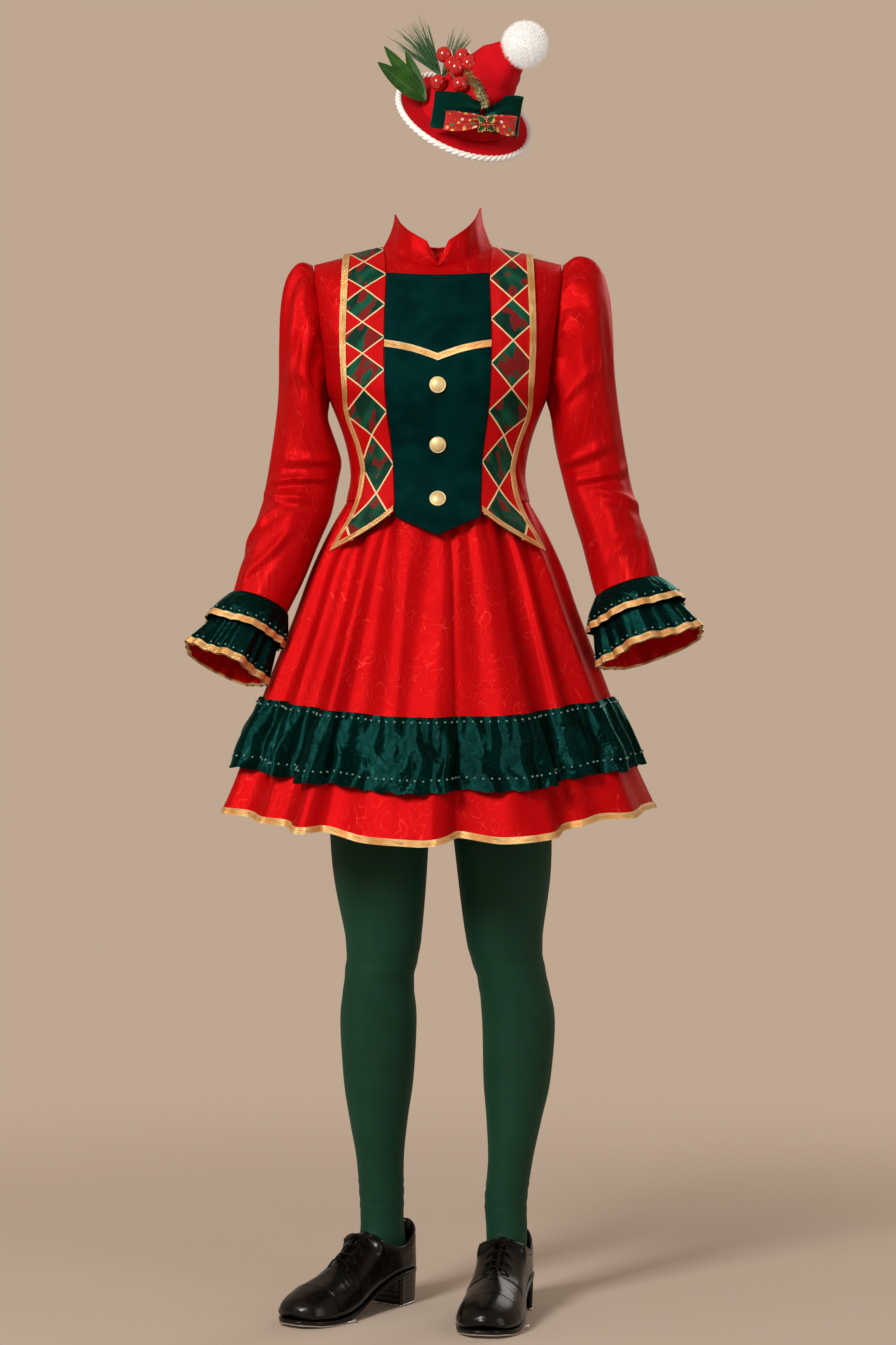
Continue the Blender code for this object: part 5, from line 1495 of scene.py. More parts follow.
def make_collar():
    """The standing collar, open in a notch at the front and low behind the neck."""
    front = np.unique(np.concatenate([np.linspace(0, 0.19, 8), np.linspace(0.19, 1, 22)]))
    front_columns = mirrored(front)
    back_columns = mirrored(np.linspace(0, 1, 30))[::-1][1:-1]
    base = np.concatenate([neckline(-1, front_columns), neckline(1, back_columns)])
    faces = ((-1, front_columns), (1, back_columns))
    rise = np.concatenate([straight(COLLAR[face], "rise", abs(columns)) for face, columns in faces])
    rise = rise * (1 + 0.09 * np.concatenate([columns for _, columns in faces]))
    lean = np.concatenate([read(COLLAR[face], "lean", abs(columns)) for face, columns in faces])
    middle = 1 - np.concatenate([abs(columns) for _, columns in faces])
    away = unit(base * (1, 1, 0))
    base = base + (0, 0, CLOTH * 0.5)
    rows = []
    for share in np.linspace(0, 1, 16):
        out = lean * (1 - (1 - share) ** 1.7) + 2.2 * middle * math.sin(math.pi * share)
        rows.append(base + away * out[:, None] + np.array((0, 0, 1)) * (rise * share)[:, None])
    grid = np.array(rows)
    normal = np.broadcast_to(away, grid.shape)
    outer = grid + normal * CLOTH
    piece = stand_in("collar", skin_part(outer, grid, closed=True), "dress satin")
    edge = spread_along(outer[-1] + (grid[-1] - outer[-1]) / 2, 1.5, closed=True)
    piping = new_piece("collar_piping", cord_part(edge, (0, 0, 1), 1.3, 8, True), "dress satin")


# Sleeves and cuffs
SLEEVE_ROWS = 104
SLEEVE_ROUND = 104
CUFF_ROUND = 240

# Folds of each sleeve: from and to, in shares round and down, with height and width
SLEEVE_FOLDS = {
    "left": (
        (0.28, 0.10, 0.36, 0.34, 3.0, 9),
        (0.42, 0.08, 0.46, 0.42, 3.4, 10),
        (0.56, 0.10, 0.52, 0.36, 2.6, 9),
        (0.16, 0.26, 0.40, 0.40, 2.6, 8),
        (0.10, 0.52, 0.34, 0.58, 4.2, 8),
        (0.12, 0.62, 0.42, 0.66, 4.6, 8),
        (0.16, 0.74, 0.46, 0.70, 3.8, 8),
        (0.30, 0.76, 0.52, 0.88, 3.6, 8),
        (0.20, 0.84, 0.38, 0.97, 3.0, 7),
        (0.60, 0.60, 0.82, 0.66, 3.0, 9),
        (0.70, 0.30, 0.78, 0.50, 2.6, 9),
        (0.64, 0.78, 0.80, 0.92, 2.6, 8),
        (0.86, 0.20, 0.90, 0.44, 2.4, 8),
    ),
    "right": (
        (0.26, 0.08, 0.32, 0.32, 3.0, 9),
        (0.40, 0.10, 0.42, 0.40, 3.4, 10),
        (0.54, 0.08, 0.50, 0.38, 2.6, 9),
        (0.14, 0.30, 0.38, 0.38, 2.4, 8),
        (0.08, 0.56, 0.36, 0.54, 4.2, 8),
        (0.14, 0.66, 0.44, 0.62, 4.6, 8),
        (0.22, 0.72, 0.48, 0.76, 3.8, 8),
        (0.34, 0.84, 0.18, 0.92, 3.4, 8),
        (0.44, 0.82, 0.34, 0.97, 3.0, 7),
        (0.62, 0.58, 0.84, 0.62, 3.0, 9),
        (0.72, 0.28, 0.76, 0.48, 2.6, 9),
        (0.66, 0.80, 0.82, 0.90, 2.6, 8),
        (0.88, 0.22, 0.90, 0.46, 2.4, 8),
    ),
}


def make_sleeve(side):
    """A full sleeve: gathered at its head, creased at the elbow, narrowed to the cuff seam."""
    shares = np.linspace(0, 1, SLEEVE_ROWS)
    grid, middle = ring_grid(SLEEVES[side], SIDE[side], shares, SLEEVE_ROUND)
    normal = outward(grid, middle, closed=True)
    turn = around(SLEEVE_ROUND)
    depth = np.interp(shares * 12, range(len(SLEEVE_PLEAT) + 1), (*SLEEVE_PLEAT, 0.4))
    pleats = -depth[:, None] * np.cos(10 * turn + 0.5 * np.sin(2 * turn))
    near_seam = bell(shares, 0.05, 0.05)[:, None]
    fine = 0.9 * near_seam * np.cos(29 * turn + np.sin(3 * turn))
    grown = np.minimum(1, shares * 14)[:, None] * np.minimum(1, (1 - shares) * 20)[:, None]
    size = (360, 480)
    folds = fold_relief(SLEEVE_ROWS, SLEEVE_ROUND, size, SLEEVE_FOLDS[side], closed=True)
    slow = unevenness(SLEEVE_ROWS, SLEEVE_ROUND, 1.0, 20 + SIDE[side], closed=True)
    grid = grid + normal * (pleats + fine + grown * (folds + slow))[..., None]
    piece = stand_in(f"sleeve_{side}", skin_part(grid + normal * SLEEVE_CLOTH, grid, closed=True),
                     "dress satin")


def make_cuff(side):
    """Two gathered ruffles round the wrist, the upper one over the lower, each edged with gold."""
    rows = 28
    shares = np.linspace(0, 1, rows)
    grid, middle = ring_grid(CUFFS[side], SIDE[side], shares, CUFF_ROUND)
    normal = outward(grid, middle, closed=True)
    turn = around(CUFF_ROUND)
    wave = np.interp(shares, (0, 0.5, 1), CUFFS[side]["wave"])
    broad = wave[:, None] * np.cos(CUFF_WAVES * turn)
    small = 2.4 * shares[:, None] * np.cos(17 * turn + 0.8 * np.sin(2 * turn + 1))
    tight = 0.5 * np.exp(-shares / 0.12)[:, None] * np.cos(40 * turn)
    lower = grid + normal * (broad + small + tight)[..., None]
    lower[0] -= (0, 0, CUFF_SEAM_DROP)
    make_ruffle("lower", side, lower, normal)
    inside = (lower - normal * 0.3)[1:, ::2]
    lining = skin_part(inside, inside - normal[1:, ::2] * 0.7, closed=True)
    new_piece(f"cuff_lining_{side}", lining, "dress satin")
    half = rows // 2
    stand = CLOTH + np.linspace(2 * GAP, 4.0, half)[:, None]
    down = np.linspace(0, 1, half)[:, None]
    fuller = 2.0 * down * (1 + np.cos(17 * turn + 2.2 + 0.8 * np.sin(turn))) + 3.0 * np.sin(math.pi * down)
    upper = lower[:half] + normal[:half] * (stand + fuller)[..., None]
    make_ruffle("upper", side, upper, normal[:half])


def make_ruffle(which, side, grid, normal):
    """One cuff ruffle, the ribbon round its edge and the beads above the ribbon."""
    piece = stand_in(f"cuff_ruffle_{which}_{side}", skin_part(grid + normal * 1.0, grid, closed=True),
                     "ruffle satin")
    lift = outward(grid, grid.mean(axis=1, keepdims=True), closed=True)[-1]
    inward = unit(grid[-3] - grid[-1])
    raised, under = band_grids(grid[-1], inward, lift, 1.3, thickness=0.7)
    parts = [skin_part(raised, under, closed=True)]
    if which == "lower":
        parts.append(skin_part(*band_grids(grid[-1], inward, -lift, 1.2, 3.2, 0.6), closed=True))
    binding = stand_in(f"cuff_binding_{which}_{side}", merged(parts), "gold ribbon")
    line = grid[-1] + inward * (RIBBON_WIDTH + 5) + lift * 1.8
    beads = new_piece(f"cuff_beads_{which}_{side}", beads_part(line, 1.3, 12.0, True), "bead")


# Skirt
SKIRT_CLOTH = 1.4
SKIRT_ROUND = 240
SKIRT_DOWN = 50
RUFFLE_ROUND = 546
RUFFLE_DOWN = 26
RUFFLE_WAVES = 15
SCALLOPS = 33

# Long folds of the skirt: place from the middle in degrees, depth, width in degrees, lift of the hem
SKIRT_FOLDS = {
    -1: ((-63, 8, 6, 2), (-45, 11, 6, 3), (-29, 15, 5, 8), (-10, 6, 5, 0), (5.5, 16, 6, 11), (24, 6, 5, 0),
         (38, 15, 6, 4), (50, 8, 7, 8), (64, 8, 6, 2)),
    1: ((-60, 9, 6, 3), (-42, 13, 6, 6), (-22, 8, 5, 1), (-6, 14, 6, 8), (14, 9, 5, 2), (33, 14, 6, 7),
        (52, 9, 6, 3), (66, 7, 6, 2)),
}


def skirt_surface(face, heights, columns):
    """Half of the skirt with uneven gathers and folds."""
    grid = skirt_grid(face, heights, columns)
    normal = outward(grid, grid * (0, 0, 1), level=True)
    normal[:, 0] = (-1, 0, 0)
    normal[:, -1] = (1, 0, 0)
    turn = np.linspace(-math.pi / 2, math.pi / 2, columns + 1)
    turn, level = np.meshgrid(turn, np.asarray(heights, float))
    fall = (WAIST - level) / (WAIST - HEM)
    inside = np.cos(turn) ** 0.5
    uneven = 3.0 * fall * np.sin(7 * turn + 1.3 + 0.6 * face) + 1.6 * fall * np.sin(15 * turn + 2.1)
    start = np.minimum(1, fall / 0.015)
    gathers = 2.3 * np.exp(-fall / 0.2) * (np.cos(36 * turn + 0.9 * np.sin(9 * turn + face)) - 1)
    folds = 0 * turn
    lift = 0 * turn
    for degrees, depth, width, rise in SKIRT_FOLDS[face]:
        valley = bell(turn, math.radians(degrees), math.radians(width))
        folds -= 2.0 * depth * (0.2 + 0.8 * fall) * valley
        lift += rise * fall**4 * valley
    moved = grid + normal * (inside * start * (uneven + gathers + folds))[..., None]
    moved[..., 2] += inside * lift
    return moved, normal


def make_skirt(name, face):
    """Half of the skirt, its gold hem binding and its ruffle."""
    heights = np.linspace(HEM, WAIST, SKIRT_DOWN)
    grid, normal = skirt_surface(face, heights, SKIRT_ROUND)
    piece = stand_in(f"skirt_{name}", skin_part(grid + normal * SKIRT_CLOTH, grid), "dress satin")
    inward = unit(grid[2] - grid[0])
    raised, under = band_grids(grid[0], inward, normal[0], SKIRT_CLOTH + GAP)
    binding = stand_in(f"hem_binding_{name}", skin_part(raised, under), "gold ribbon")
    make_skirt_ruffle(name, face)


def make_skirt_ruffle(name, face):
    """The gathered ruffle above the hem, with a scalloped edge and a row of beads along each edge."""
    low, _, high = SKIRT["height"][RUFFLE_ROWS]
    heights = np.linspace(low, high, RUFFLE_DOWN)
    base, normal = skirt_surface(face, heights, RUFFLE_ROUND)
    turn = np.linspace(-math.pi / 2, math.pi / 2, RUFFLE_ROUND + 1)
    down = np.linspace(1, 0, RUFFLE_DOWN)[:, None]
    phase = 2 * RUFFLE_WAVES * turn + 1.5 * np.sin(5 * turn + face) + 0.9 * np.sin(13 * turn)
    stand = 1.0 + 9.5 * down**0.8
    bent = phase + 0.5 * np.sin(3 * math.pi * down + 2.1 * np.sin(4 * turn))
    broad = 7.5 * down**0.7 * np.cos(bent) + 1.6 * down * (1 - down) * np.cos(2.3 * bent + 1)
    tight = 1.1 * (1 - down) ** 1.5 * (1 + np.cos(3 * phase + 0.7))
    waved = base + normal * (CLOTH + GAP + stand + broad + tight)[..., None]
    sway = np.gradient(waved, axis=1)
    sway = unit(sway * (1, 1, 0)) * (1.8 * down * np.sin(2 * phase))[..., None]
    waved = waved + sway
    scallop = 3.0 * abs(np.cos(SCALLOPS * turn)) * down[:, 0][:, None] ** 6
    waved[..., 2] -= scallop
    lift = outward(waved, waved * (0, 0, 1))
    piece = stand_in(f"skirt_ruffle_{name}", skin_part(waved + lift * 0.9, waved), "ruffle satin")
    for edge, row, out in (("lower", 4, 1.6), ("upper", RUFFLE_DOWN - 3, 1.7)):
        line = waved[row] + lift[row] * out
        new_piece(f"ruffle_beads_{edge}_{name}", beads_part(line, 1.5, 11.0), "bead")


# Tights
LEG_ROUND = 56


def make_tights_top():
    """The tights from the hips up to the waist, with a rolled waistband."""
    heights = np.linspace(TIGHTS_TOP["height"][0], TIGHTS_TOP["height"][-1], 28)
    turn = around(72)
    turn, heights = np.meshgrid(turn, heights)
    half_width, front, back = [read(TIGHTS_TOP, name, heights) for name in ("half_width", "front", "back")]
    depth = np.where(np.cos(turn) > 0, front, back)
    grid = np.stack([half_width * np.sin(turn), -depth * np.cos(turn), heights], axis=2)
    normal = outward(grid, grid * (0, 0, 1), closed=True, level=True)
    low = heights.min()
    grid = grid - normal * (13.0 * smooth_share(heights, low + 10, low + 90))[..., None]
    piece = stand_in("tights_top", skin_part(grid, grid - normal * KNIT, closed=True), "tights knit")
    line = grid[-2] + normal[-2] * 0.1
    welt = new_piece("tights_waistband", cord_part(line, (0, 0, 1), 0.9, 8, True), "tights knit")


def leg_cage(side):
    """Rings of a leg of the tights, from the crotch to the foot's last ring."""
    source = LEGS[side]
    turn_out = math.radians(SHOES[side]["turn"])
    rings = [crotch_ring(SIDE[side])]
    for row in reversed(range(len(source["height"]))):
        height, x, y, half_width, half_depth = [source[name][row] for name in LEG.split()]
        share = np.interp(height, LEG_TURN[::-1], (1, 0))
        rings.append(leg_ring(x, y, height, half_width, half_depth, turn_out * share))
    turn = around(LEG_COLUMNS)
    for front, front_h, back, back_h, half_width in zip(*FOOT.values()):
        along = (front + back) / 2 + (front - back) / 2 * np.cos(turn)
        height = (front_h + back_h) / 2 + (front_h - back_h) / 2 * np.cos(turn)
        rings.append(in_shoe(side, along, half_width * np.sin(turn), height))
    return np.array(rings)


def make_leg(side):
    """A leg of the tights with a few wrinkles at the ankle and behind the knee."""
    cage = leg_cage(side)
    grid = refined(refined(cage, 150), LEG_ROUND, axis=1, closed=True)
    normal = outward(grid, grid.mean(axis=1, keepdims=True), closed=True)
    normal[0, :, 2] = 0
    heights = grid[..., 2].mean(axis=1)
    turn = around(LEG_ROUND)
    ankle = bell(heights, 150, 26)[:, None]
    knee = bell(heights, 455, 40)[:, None]
    relief = 0.55 * ankle * np.sin(heights[:, None] / 2.6 + 1.1 * np.sin(turn + 1))
    relief = relief + 0.5 * knee * np.sin(heights[:, None] / 4.5 + 1.4 * np.cos(turn))
    grid = grid + normal * (relief * smooth_share(heights, 108, 125)[:, None])[..., None]
    tip = np.broadcast_to(in_shoe(side, FOOT_TIP[0], 0.0, FOOT_TIP[1]), (1, LEG_ROUND, 3))
    inner_tip = np.broadcast_to(in_shoe(side, FOOT_TIP[0] - KNIT, 0.0, FOOT_TIP[1]), (1, LEG_ROUND, 3))
    outer = np.concatenate([grid, tip])
    inner = np.concatenate([grid - normal * KNIT, inner_tip])
    part = skin_part(outer, inner, closed=True, poles=(False, True))
    piece = stand_in(f"tights_leg_{side}", part, "tights knit")


# Inset of a plate's middle point
CENTRE = math.inf

# Upper edge of each layer of the stacked heel, as a share of its height
HEEL_LAYERS = (0.8, 0.6, 0.4, 0.2)

# Creases across the vamp: place along the shoe and depth
VAMP_CREASES = ((150, 0.25), (158, 0.35), (168, 0.25))

# The fine grid has this many rows and columns for each section and point of the upper
FINE_ROWS, FINE_COLUMNS = 8, 6
ANKLE, THROAT = [upper_row(along) + 1 for along in (TOPLINE_END, THROAT_END)]
CAP_START = 12 * FINE_ROWS - 3
FACING_MIDDLES = (4 * FINE_COLUMNS - 2, 8 * FINE_COLUMNS + 2)
OVERLAY = 0.8


def make_upper(side):
    """The leather upper: open at the ankle, slit under the laces, with a toe cap and lace facings."""
    across, up = upper_sections()
    local = np.stack([UPPER["along"][:, None] + 0 * across, across, up], axis=2)
    shape = (1, local.shape[1], 3)
    ends = [np.broadcast_to((along, 0.0, height), shape) for along, height in (UPPER_BACK, UPPER_TOE)]
    cage = np.concatenate([ends[0], local, ends[1]])
    fine = refined(cage, (len(cage) - 1) * FINE_ROWS + 1, poles=True)
    fine = refined(fine, cage.shape[1] * FINE_COLUMNS, axis=1, closed=True)
    fine[..., 2] = np.maximum(fine[..., 2], np.interp(fine[..., 0], UPPER["along"], UPPER["bottom"]) - 0.1)
    grid = in_shoe(side, fine[..., 0], fine[..., 1], fine[..., 2])
    normal = outward(grid[1:-1], grid[1:-1].mean(axis=1, keepdims=True), closed=True)
    ends = [unit(row.mean(axis=0)) + 0 * row for row in (normal[0], normal[-1])]
    normal = np.concatenate([ends[0][None], normal, ends[1][None]])

    def keep(i, j):
        row = i // FINE_ROWS
        column = j // FINE_COLUMNS
        if row < ANKLE:
            return not 4 <= column <= 7
        return row >= THROAT or not 5 <= column <= 6

    creases = np.zeros(grid.shape[:2])
    for along, depth in VAMP_CREASES:
        creases -= depth * bell(fine[..., 0] - along, 0.15 * fine[..., 1], 2.4)
    creases *= smooth_share(fine[..., 2], 25, 45)
    outer = grid + normal * creases[..., None]
    part = skin_part(outer, grid - normal * LEATHER, closed=True, keep=keep, poles=(True, True))
    stand_in(f"shoe_upper_{side}", part, "shoe leather", 60)
    make_overlays(side, outer, normal)
    make_stitches(side, outer, normal)
    make_topline(side, outer)


def overlay_part(grid, normal, rows, columns):
    """A thinner layer sewn on the upper, with its edges pressed down."""
    patch = grid[rows, columns]
    lift = normal[rows, columns]
    count, wide = patch.shape[:2]
    inner = np.minimum(np.arange(count), np.arange(count)[::-1])[:, None]
    side = np.minimum(np.arange(wide), np.arange(wide)[::-1])[None]
    press = smooth_share(np.minimum(inner, side), -0.5, 1.5)[..., None]
    return skin_part(patch + lift * (0.15 + OVERLAY * press), patch - lift * 0.3)


def make_overlays(side, grid, normal):
    """The toe cap and the two facings that carry the eyelets."""
    cap = slice(CAP_START, grid.shape[0] - 3)
    rows = slice((ANKLE - 1) * FINE_ROWS + 5, THROAT * FINE_ROWS + 5)
    parts = [
        overlay_part(grid, normal, cap, slice(8, grid.shape[1] - 7)),
        overlay_part(grid, normal, rows, slice(4 * FINE_COLUMNS - 3, 5 * FINE_COLUMNS + 1)),
        overlay_part(grid, normal, rows, slice(7 * FINE_COLUMNS, 8 * FINE_COLUMNS + 4)),
    ]
    new_piece(f"shoe_overlays_{side}", merged(parts), "shoe leather")


def stitch_part(path, lift, spacing=3.2):
    """A row of short raised stitches along a line."""
    places = spread_along(path, spacing)
    ahead = unit(np.gradient(places, axis=0))
    shares = [np.linspace(0, 1, len(points)) for points in (places, lift)]
    out = unit(np.stack([np.interp(*shares, lift[:, n]) for n in range(3)], axis=1))
    aside = unit(np.cross(ahead, out))
    frames = np.stack([ahead * 1.05, aside * 0.32, out * 0.28], axis=1)
    return scattered(*ball(1), frames, places + out * 0.1)


def make_stitches(side, grid, normal):
    """Two rows of stitches behind the toe cap, and one down each facing and each side of the ankle."""
    cap = np.s_[9 : grid.shape[1] - 8]
    facing = slice((ANKLE - 1) * FINE_ROWS + 7, THROAT * FINE_ROWS + 4)
    lines = [((row, cap), 1.0) for row in (CAP_START + 1, CAP_START + 2)]
    lines += [((facing, column), 1.0) for column in FACING_MIDDLES]
    lines += [((slice(6, ANKLE * FINE_ROWS), column), 0.1) for column in FACING_MIDDLES]
    parts = [stitch_part(grid[at] + normal[at] * rise, normal[at]) for at, rise in lines]
    new_piece(f"shoe_stitches_{side}", merged(parts), "lace cord")


def make_topline(side, grid):
    """The rolled edge round the ankle and down both sides of the slit."""
    end = ANKLE * FINE_ROWS
    stop = THROAT * FINE_ROWS
    fine = FINE_COLUMNS
    left = [*grid[2:end, 4 * fine], *grid[end, 4 * fine : 5 * fine], *grid[end:stop, 5 * fine]]
    right = [*grid[2:end, 8 * fine], *grid[end, 8 * fine : 7 * fine : -1], *grid[end:stop, 7 * fine]]
    path = refined(np.array(left[::-3] + [left[0], right[0]] + right[::3]), 260)
    path = softened(path[:, None], slice(1, len(path) - 1), 4)[:, 0]
    new_piece(f"shoe_topline_{side}", cord_part(path, (0.1, 0.2, 1), 1.5, 8), "shoe leather")


def plate_outline(along, half_width, count=120):
    """Points round a plate of the shoe, along and across."""
    loop = np.array([*zip(along, half_width), *zip(along[::-1], -half_width[::-1])])
    loop = refined(loop, count, closed=True)
    return np.stack([np.clip(loop[:, 0], along.min() - 1.5, along.max() + 1.0), loop[:, 1]], axis=1)


def shoe_plate(side, outline, levels):
    """A plate with the given outline: each level is an inset and the heights round it."""
    middle = outline.mean(axis=0)
    reach = np.linalg.norm(outline - middle, axis=1, keepdims=True)
    rings = []
    for inset, height in levels:
        flat = middle + (outline - middle) * np.maximum(0, 1 - inset / reach)
        rings.append(in_shoe(side, flat[:, 0], flat[:, 1], height(flat[:, 0])))
    return closed_part(np.array(rings))


def make_shoe_bottom(side):
    """Sole with a welt, stacked heel and the metal taps under them."""
    ends = np.array((SOLE_BACK[0], *UPPER["along"], SOLE_TIP[0]))
    half_width = np.array((SOLE_BACK[1], *(UPPER["half_width"] + SOLE_EDGE), SOLE_TIP[1]))
    bottom = np.interp(ends, UPPER["along"], UPPER["bottom"]) - GAP
    bottom[-1] += SOLE_TIP_RISE
    foot = TAP + GAP

    def under(drop):
        return lambda along: np.interp(along, ends, bottom) - drop

    def flat(height):
        return lambda along: 0 * along + height

    def stack(share):
        return lambda along: foot + (top(along) - foot) * share

    def make_plate(name, outline, look, *levels):
        stand_in(f"shoe_{name}_{side}", shoe_plate(side, outline, levels), look)

    top = under(SOLE + GAP)
    edge = [(1.2, 0), (0.2, 0.5), (0, 1.4), (0.7, 1.9), (0.3, 2.4), (0.3, SOLE - 0.7), (1.0, SOLE)]
    make_plate("sole", plate_outline(ends, half_width), "sole stack", (CENTRE, under(0)), (12, under(0)),
               *((inset, under(drop)) for inset, drop in edge), (12, under(SOLE)), (CENTRE, under(SOLE)))
    wide = np.array(HEEL_STATIONS)
    half = np.interp(wide, ends, half_width) - HEEL_INSET
    heel = plate_outline(np.array([*wide, wide[-1]]), np.array([*half, half[-1] * 0.6]), 96)
    layers = []
    for share in HEEL_LAYERS:
        taper = 1.6 * (1 - share)
        layers += [(taper + cut, stack(share + rise)) for cut, rise in ((0.1, 0.02), (0.3, 0), (0.1, -0.02))]
    make_plate("heel", heel, "sole stack", (CENTRE, top), (9, top), (0.3, top), *layers,
               (1.8, flat(foot)), (9, flat(foot)), (CENTRE, flat(foot)))
    edge = [(CENTRE, TAP), (9, TAP), (1.6, TAP), (1.1, TAP - 0.4), (1.1, 0.5), (1.7, 0), (9, 0), (CENTRE, 0)]
    make_plate("heel_tap", heel, "tap metal", *((inset, flat(height)) for inset, height in edge))
    along = np.array(TOE_TAP_STATIONS)
    toe = plate_outline(along, np.interp(along, ends, half_width) - TOE_TAP_INSET, 96)
    low = SOLE + GAP + TAP
    edge = [(0.2, SOLE + GAP + 0.5), (0.2, low - 0.5), (0.8, low), (9, low), (CENTRE, low)]
    make_plate("toe_tap", toe, "tap metal", (CENTRE, top), (9, top), (0.8, top),
               *((inset, under(drop)) for inset, drop in edge))


# The tongue's rounded top above the first lace: along the shoe, rise and half width
TONGUE_TOP = ((88, 3, 10), (91, 2.6, 11), (95, 1.5, 10))


def make_tongue(side):
    """The tongue under the laces, rounded over the foot."""
    along = TONGUE["along"]
    crest = np.interp(along, UPPER["along"], UPPER["crest"]) - LEATHER - TONGUE_DEPTH
    cage = np.stack([along, crest + TONGUE["rise"], TONGUE["half_width"]], axis=1)
    top = np.array(TONGUE_TOP, float)
    cage[:3] = top + np.stack([0 * top[:, 0], np.interp(top[:, 0], along, crest), 0 * top[:, 0]], axis=1)
    fine = refined(cage, 44)
    shares = np.linspace(-1, 1, 17)
    across = fine[:, 2:] * shares
    rounded = np.sqrt(across**2 + 49) - 7
    drop = rounded + (abs(across) - rounded) * smooth_share(fine[:, :1], 94, 102)
    height = fine[:, 1:2] - TONGUE_SLOPE * drop + 0.5 * np.cos(3 * shares)
    faces = [in_shoe(side, fine[:, :1], across, height - depth) for depth in (0.0, TONGUE_THICKNESS)]
    stand_in(f"shoe_tongue_{side}", skin_part(*faces), "shoe leather")


# How far out on the facings the laces meet their eyelets
LACE_REACH = 16.0


def lace_points(along):
    """Where a lace leaves its eyelets and passes over the slit, from one side to the other."""
    row = upper_row(along)
    top_v, top, shoulder_v, shoulder = [UPPER[n][row] for n in ("top_v", "top", "shoulder_v", "shoulder")]
    side_height = np.interp(LACE_REACH, (top_v, shoulder_v), (top, shoulder)) + LACE_LIFTS["side"]
    middle = top + LACE_LIFTS["slit"]
    if along == THROAT_END:
        middle = UPPER["crest"][row] + LACE_LIFTS["vamp"]
    low = side_height - 3.2
    return [(-LACE_REACH - 1.5, low), (-LACE_REACH, side_height), (-top_v, middle), (top_v, middle),
            (LACE_REACH, side_height), (LACE_REACH + 1.5, low)]


def make_laces(side):
    """The lace straight across the slit in its rows, eyelet rings, and a small bow."""
    parts = []
    rings = []
    for along in LACE_ROWS:
        points = lace_points(along)
        path = refined(np.array([in_shoe(side, along, v, w) for v, w in points]), 40)
        parts.append(cord_part(path, (0.05, 0.05, 1), LACE_RADIUS - 0.2, 10))
        for v, w in (points[1], points[-2]):
            turn = around(24)
            slope = -0.75 * (v / abs(v))
            spots = [in_shoe(side, along + 2.8 * math.cos(t), v + 2.3 * math.sin(t),
                             w - 1.9 + slope * 2.3 * math.sin(t)) for t in turn]
            rings.append(cord_part(np.array(spots), (0, 0, 1), 0.65, 8, True))
    parts += bow_parts(side)
    stand_in(f"shoe_laces_{side}", merged(parts), "lace cord")
    new_piece(f"shoe_eyelets_{side}", merged(rings), "shoe leather")


def bow_parts(side):
    """A tied bow on the top row of the lace: a knot, two loops and two short ends."""
    parts = []
    top = lace_points(LACE_ROWS[0])[2][1] + 2.5
    start = LACE_ROWS[0] + 2
    for sign in (1, -1):
        loop = [(start, 0, top), (start + 2, 6 * sign, top + 2), (start + 5, 13 * sign, top),
                (start + 8, 18 * sign, top - 6), (start + 9, 16 * sign, top - 8),
                (start + 7, 11 * sign, top - 3), (start + 4, 5 * sign, top), (start + 1, 0, top - 0.5)]
        end = [(start, 0, top), (start + 5, 4 * sign, top + 1), (start + 10, 9 * sign, top - 3),
               (start + 13, 13 * sign, top - 9)]
        for points, count in ((loop, 60), (end, 30)):
            path = refined(np.array([in_shoe(side, *p) for p in points]), count)
            parts.append(cord_part(path, (0.05, 0.6, 1), 0.8, 8))
    centres, faces = ball(3)
    knot = in_shoe(side, start, 0.0, top)
    parts.append(scattered(centres, faces, np.eye(3)[None] * 2.6, np.array([knot])))
    return parts


# Hat
BRIM_ROUND = 144
FIBRES = 15000
FIBRE_START = 15
TINSEL = 1200
NEEDLES, NEEDLES_BEHIND = 130, 100

# The tinsel's line, to the right of the knot and above it
TINSEL_LINE = ((-17, 62), (-13, 50), (-6, 38), (0, 26), (4, 14))

# Broad leaves: turn in degrees, length, width and lean toward the viewer; holly: turn, length and lift
BROAD_LEAVES = ((143, 80, 23, 0.16), (128, 88, 19, 0.04), (112, 70, 16, -0.1))
HOLLY_LEAVES = ((30, 16, 0.0), (120, 15, 0.6), (210, 16, 1.2), (300, 15, 1.8))


def make_brim():
    """The hanging, slightly uneven felt brim."""
    turn = around(BRIM_ROUND)
    radius = np.linspace(0, BRIM_RADIUS, 24)[:, None]
    uneven = 0.7 * (radius / BRIM_RADIUS) ** 2 * (np.sin(2 * turn + 0.6) + 0.5 * np.sin(5 * turn))
    top = np.stack([radius * np.cos(turn), radius * np.sin(turn), brim_height(radius) + uneven], axis=2)
    bottom = top - (0, 0, FELT)
    part = skin_part(on_hat(top), on_hat(bottom), closed=True, poles=(True, False))
    stand_in("hat_brim", part, "hat felt")
    make_braid()


def make_braid():
    """Three twisted strands of white cord round the brim's edge."""
    turn = around(480)
    out = np.stack([np.cos(turn), np.sin(turn), 0 * turn], axis=1)
    up = np.array((0.0, 0.0, 1.0))
    middle = out * (BRIM_RADIUS + PIPING_RADIUS) + up * (brim_height(BRIM_RADIUS) - FELT / 2)
    parts = []
    for strand in range(3):
        twist = 23 * turn + 2 * math.pi * strand / 3
        path = middle + 2.0 * (np.cos(twist)[:, None] * out + np.sin(twist)[:, None] * up)
        parts.append(cord_part(on_hat(path), on_hat(path + up) - on_hat(path), 2.5, 9, True))
    stand_in("hat_piping", merged(parts), "white braid")


# Where the felt cone ends, inside the pompom
CROWN_END = (33.0, -15.5, 121.0)
CROWN_ROWS = 60

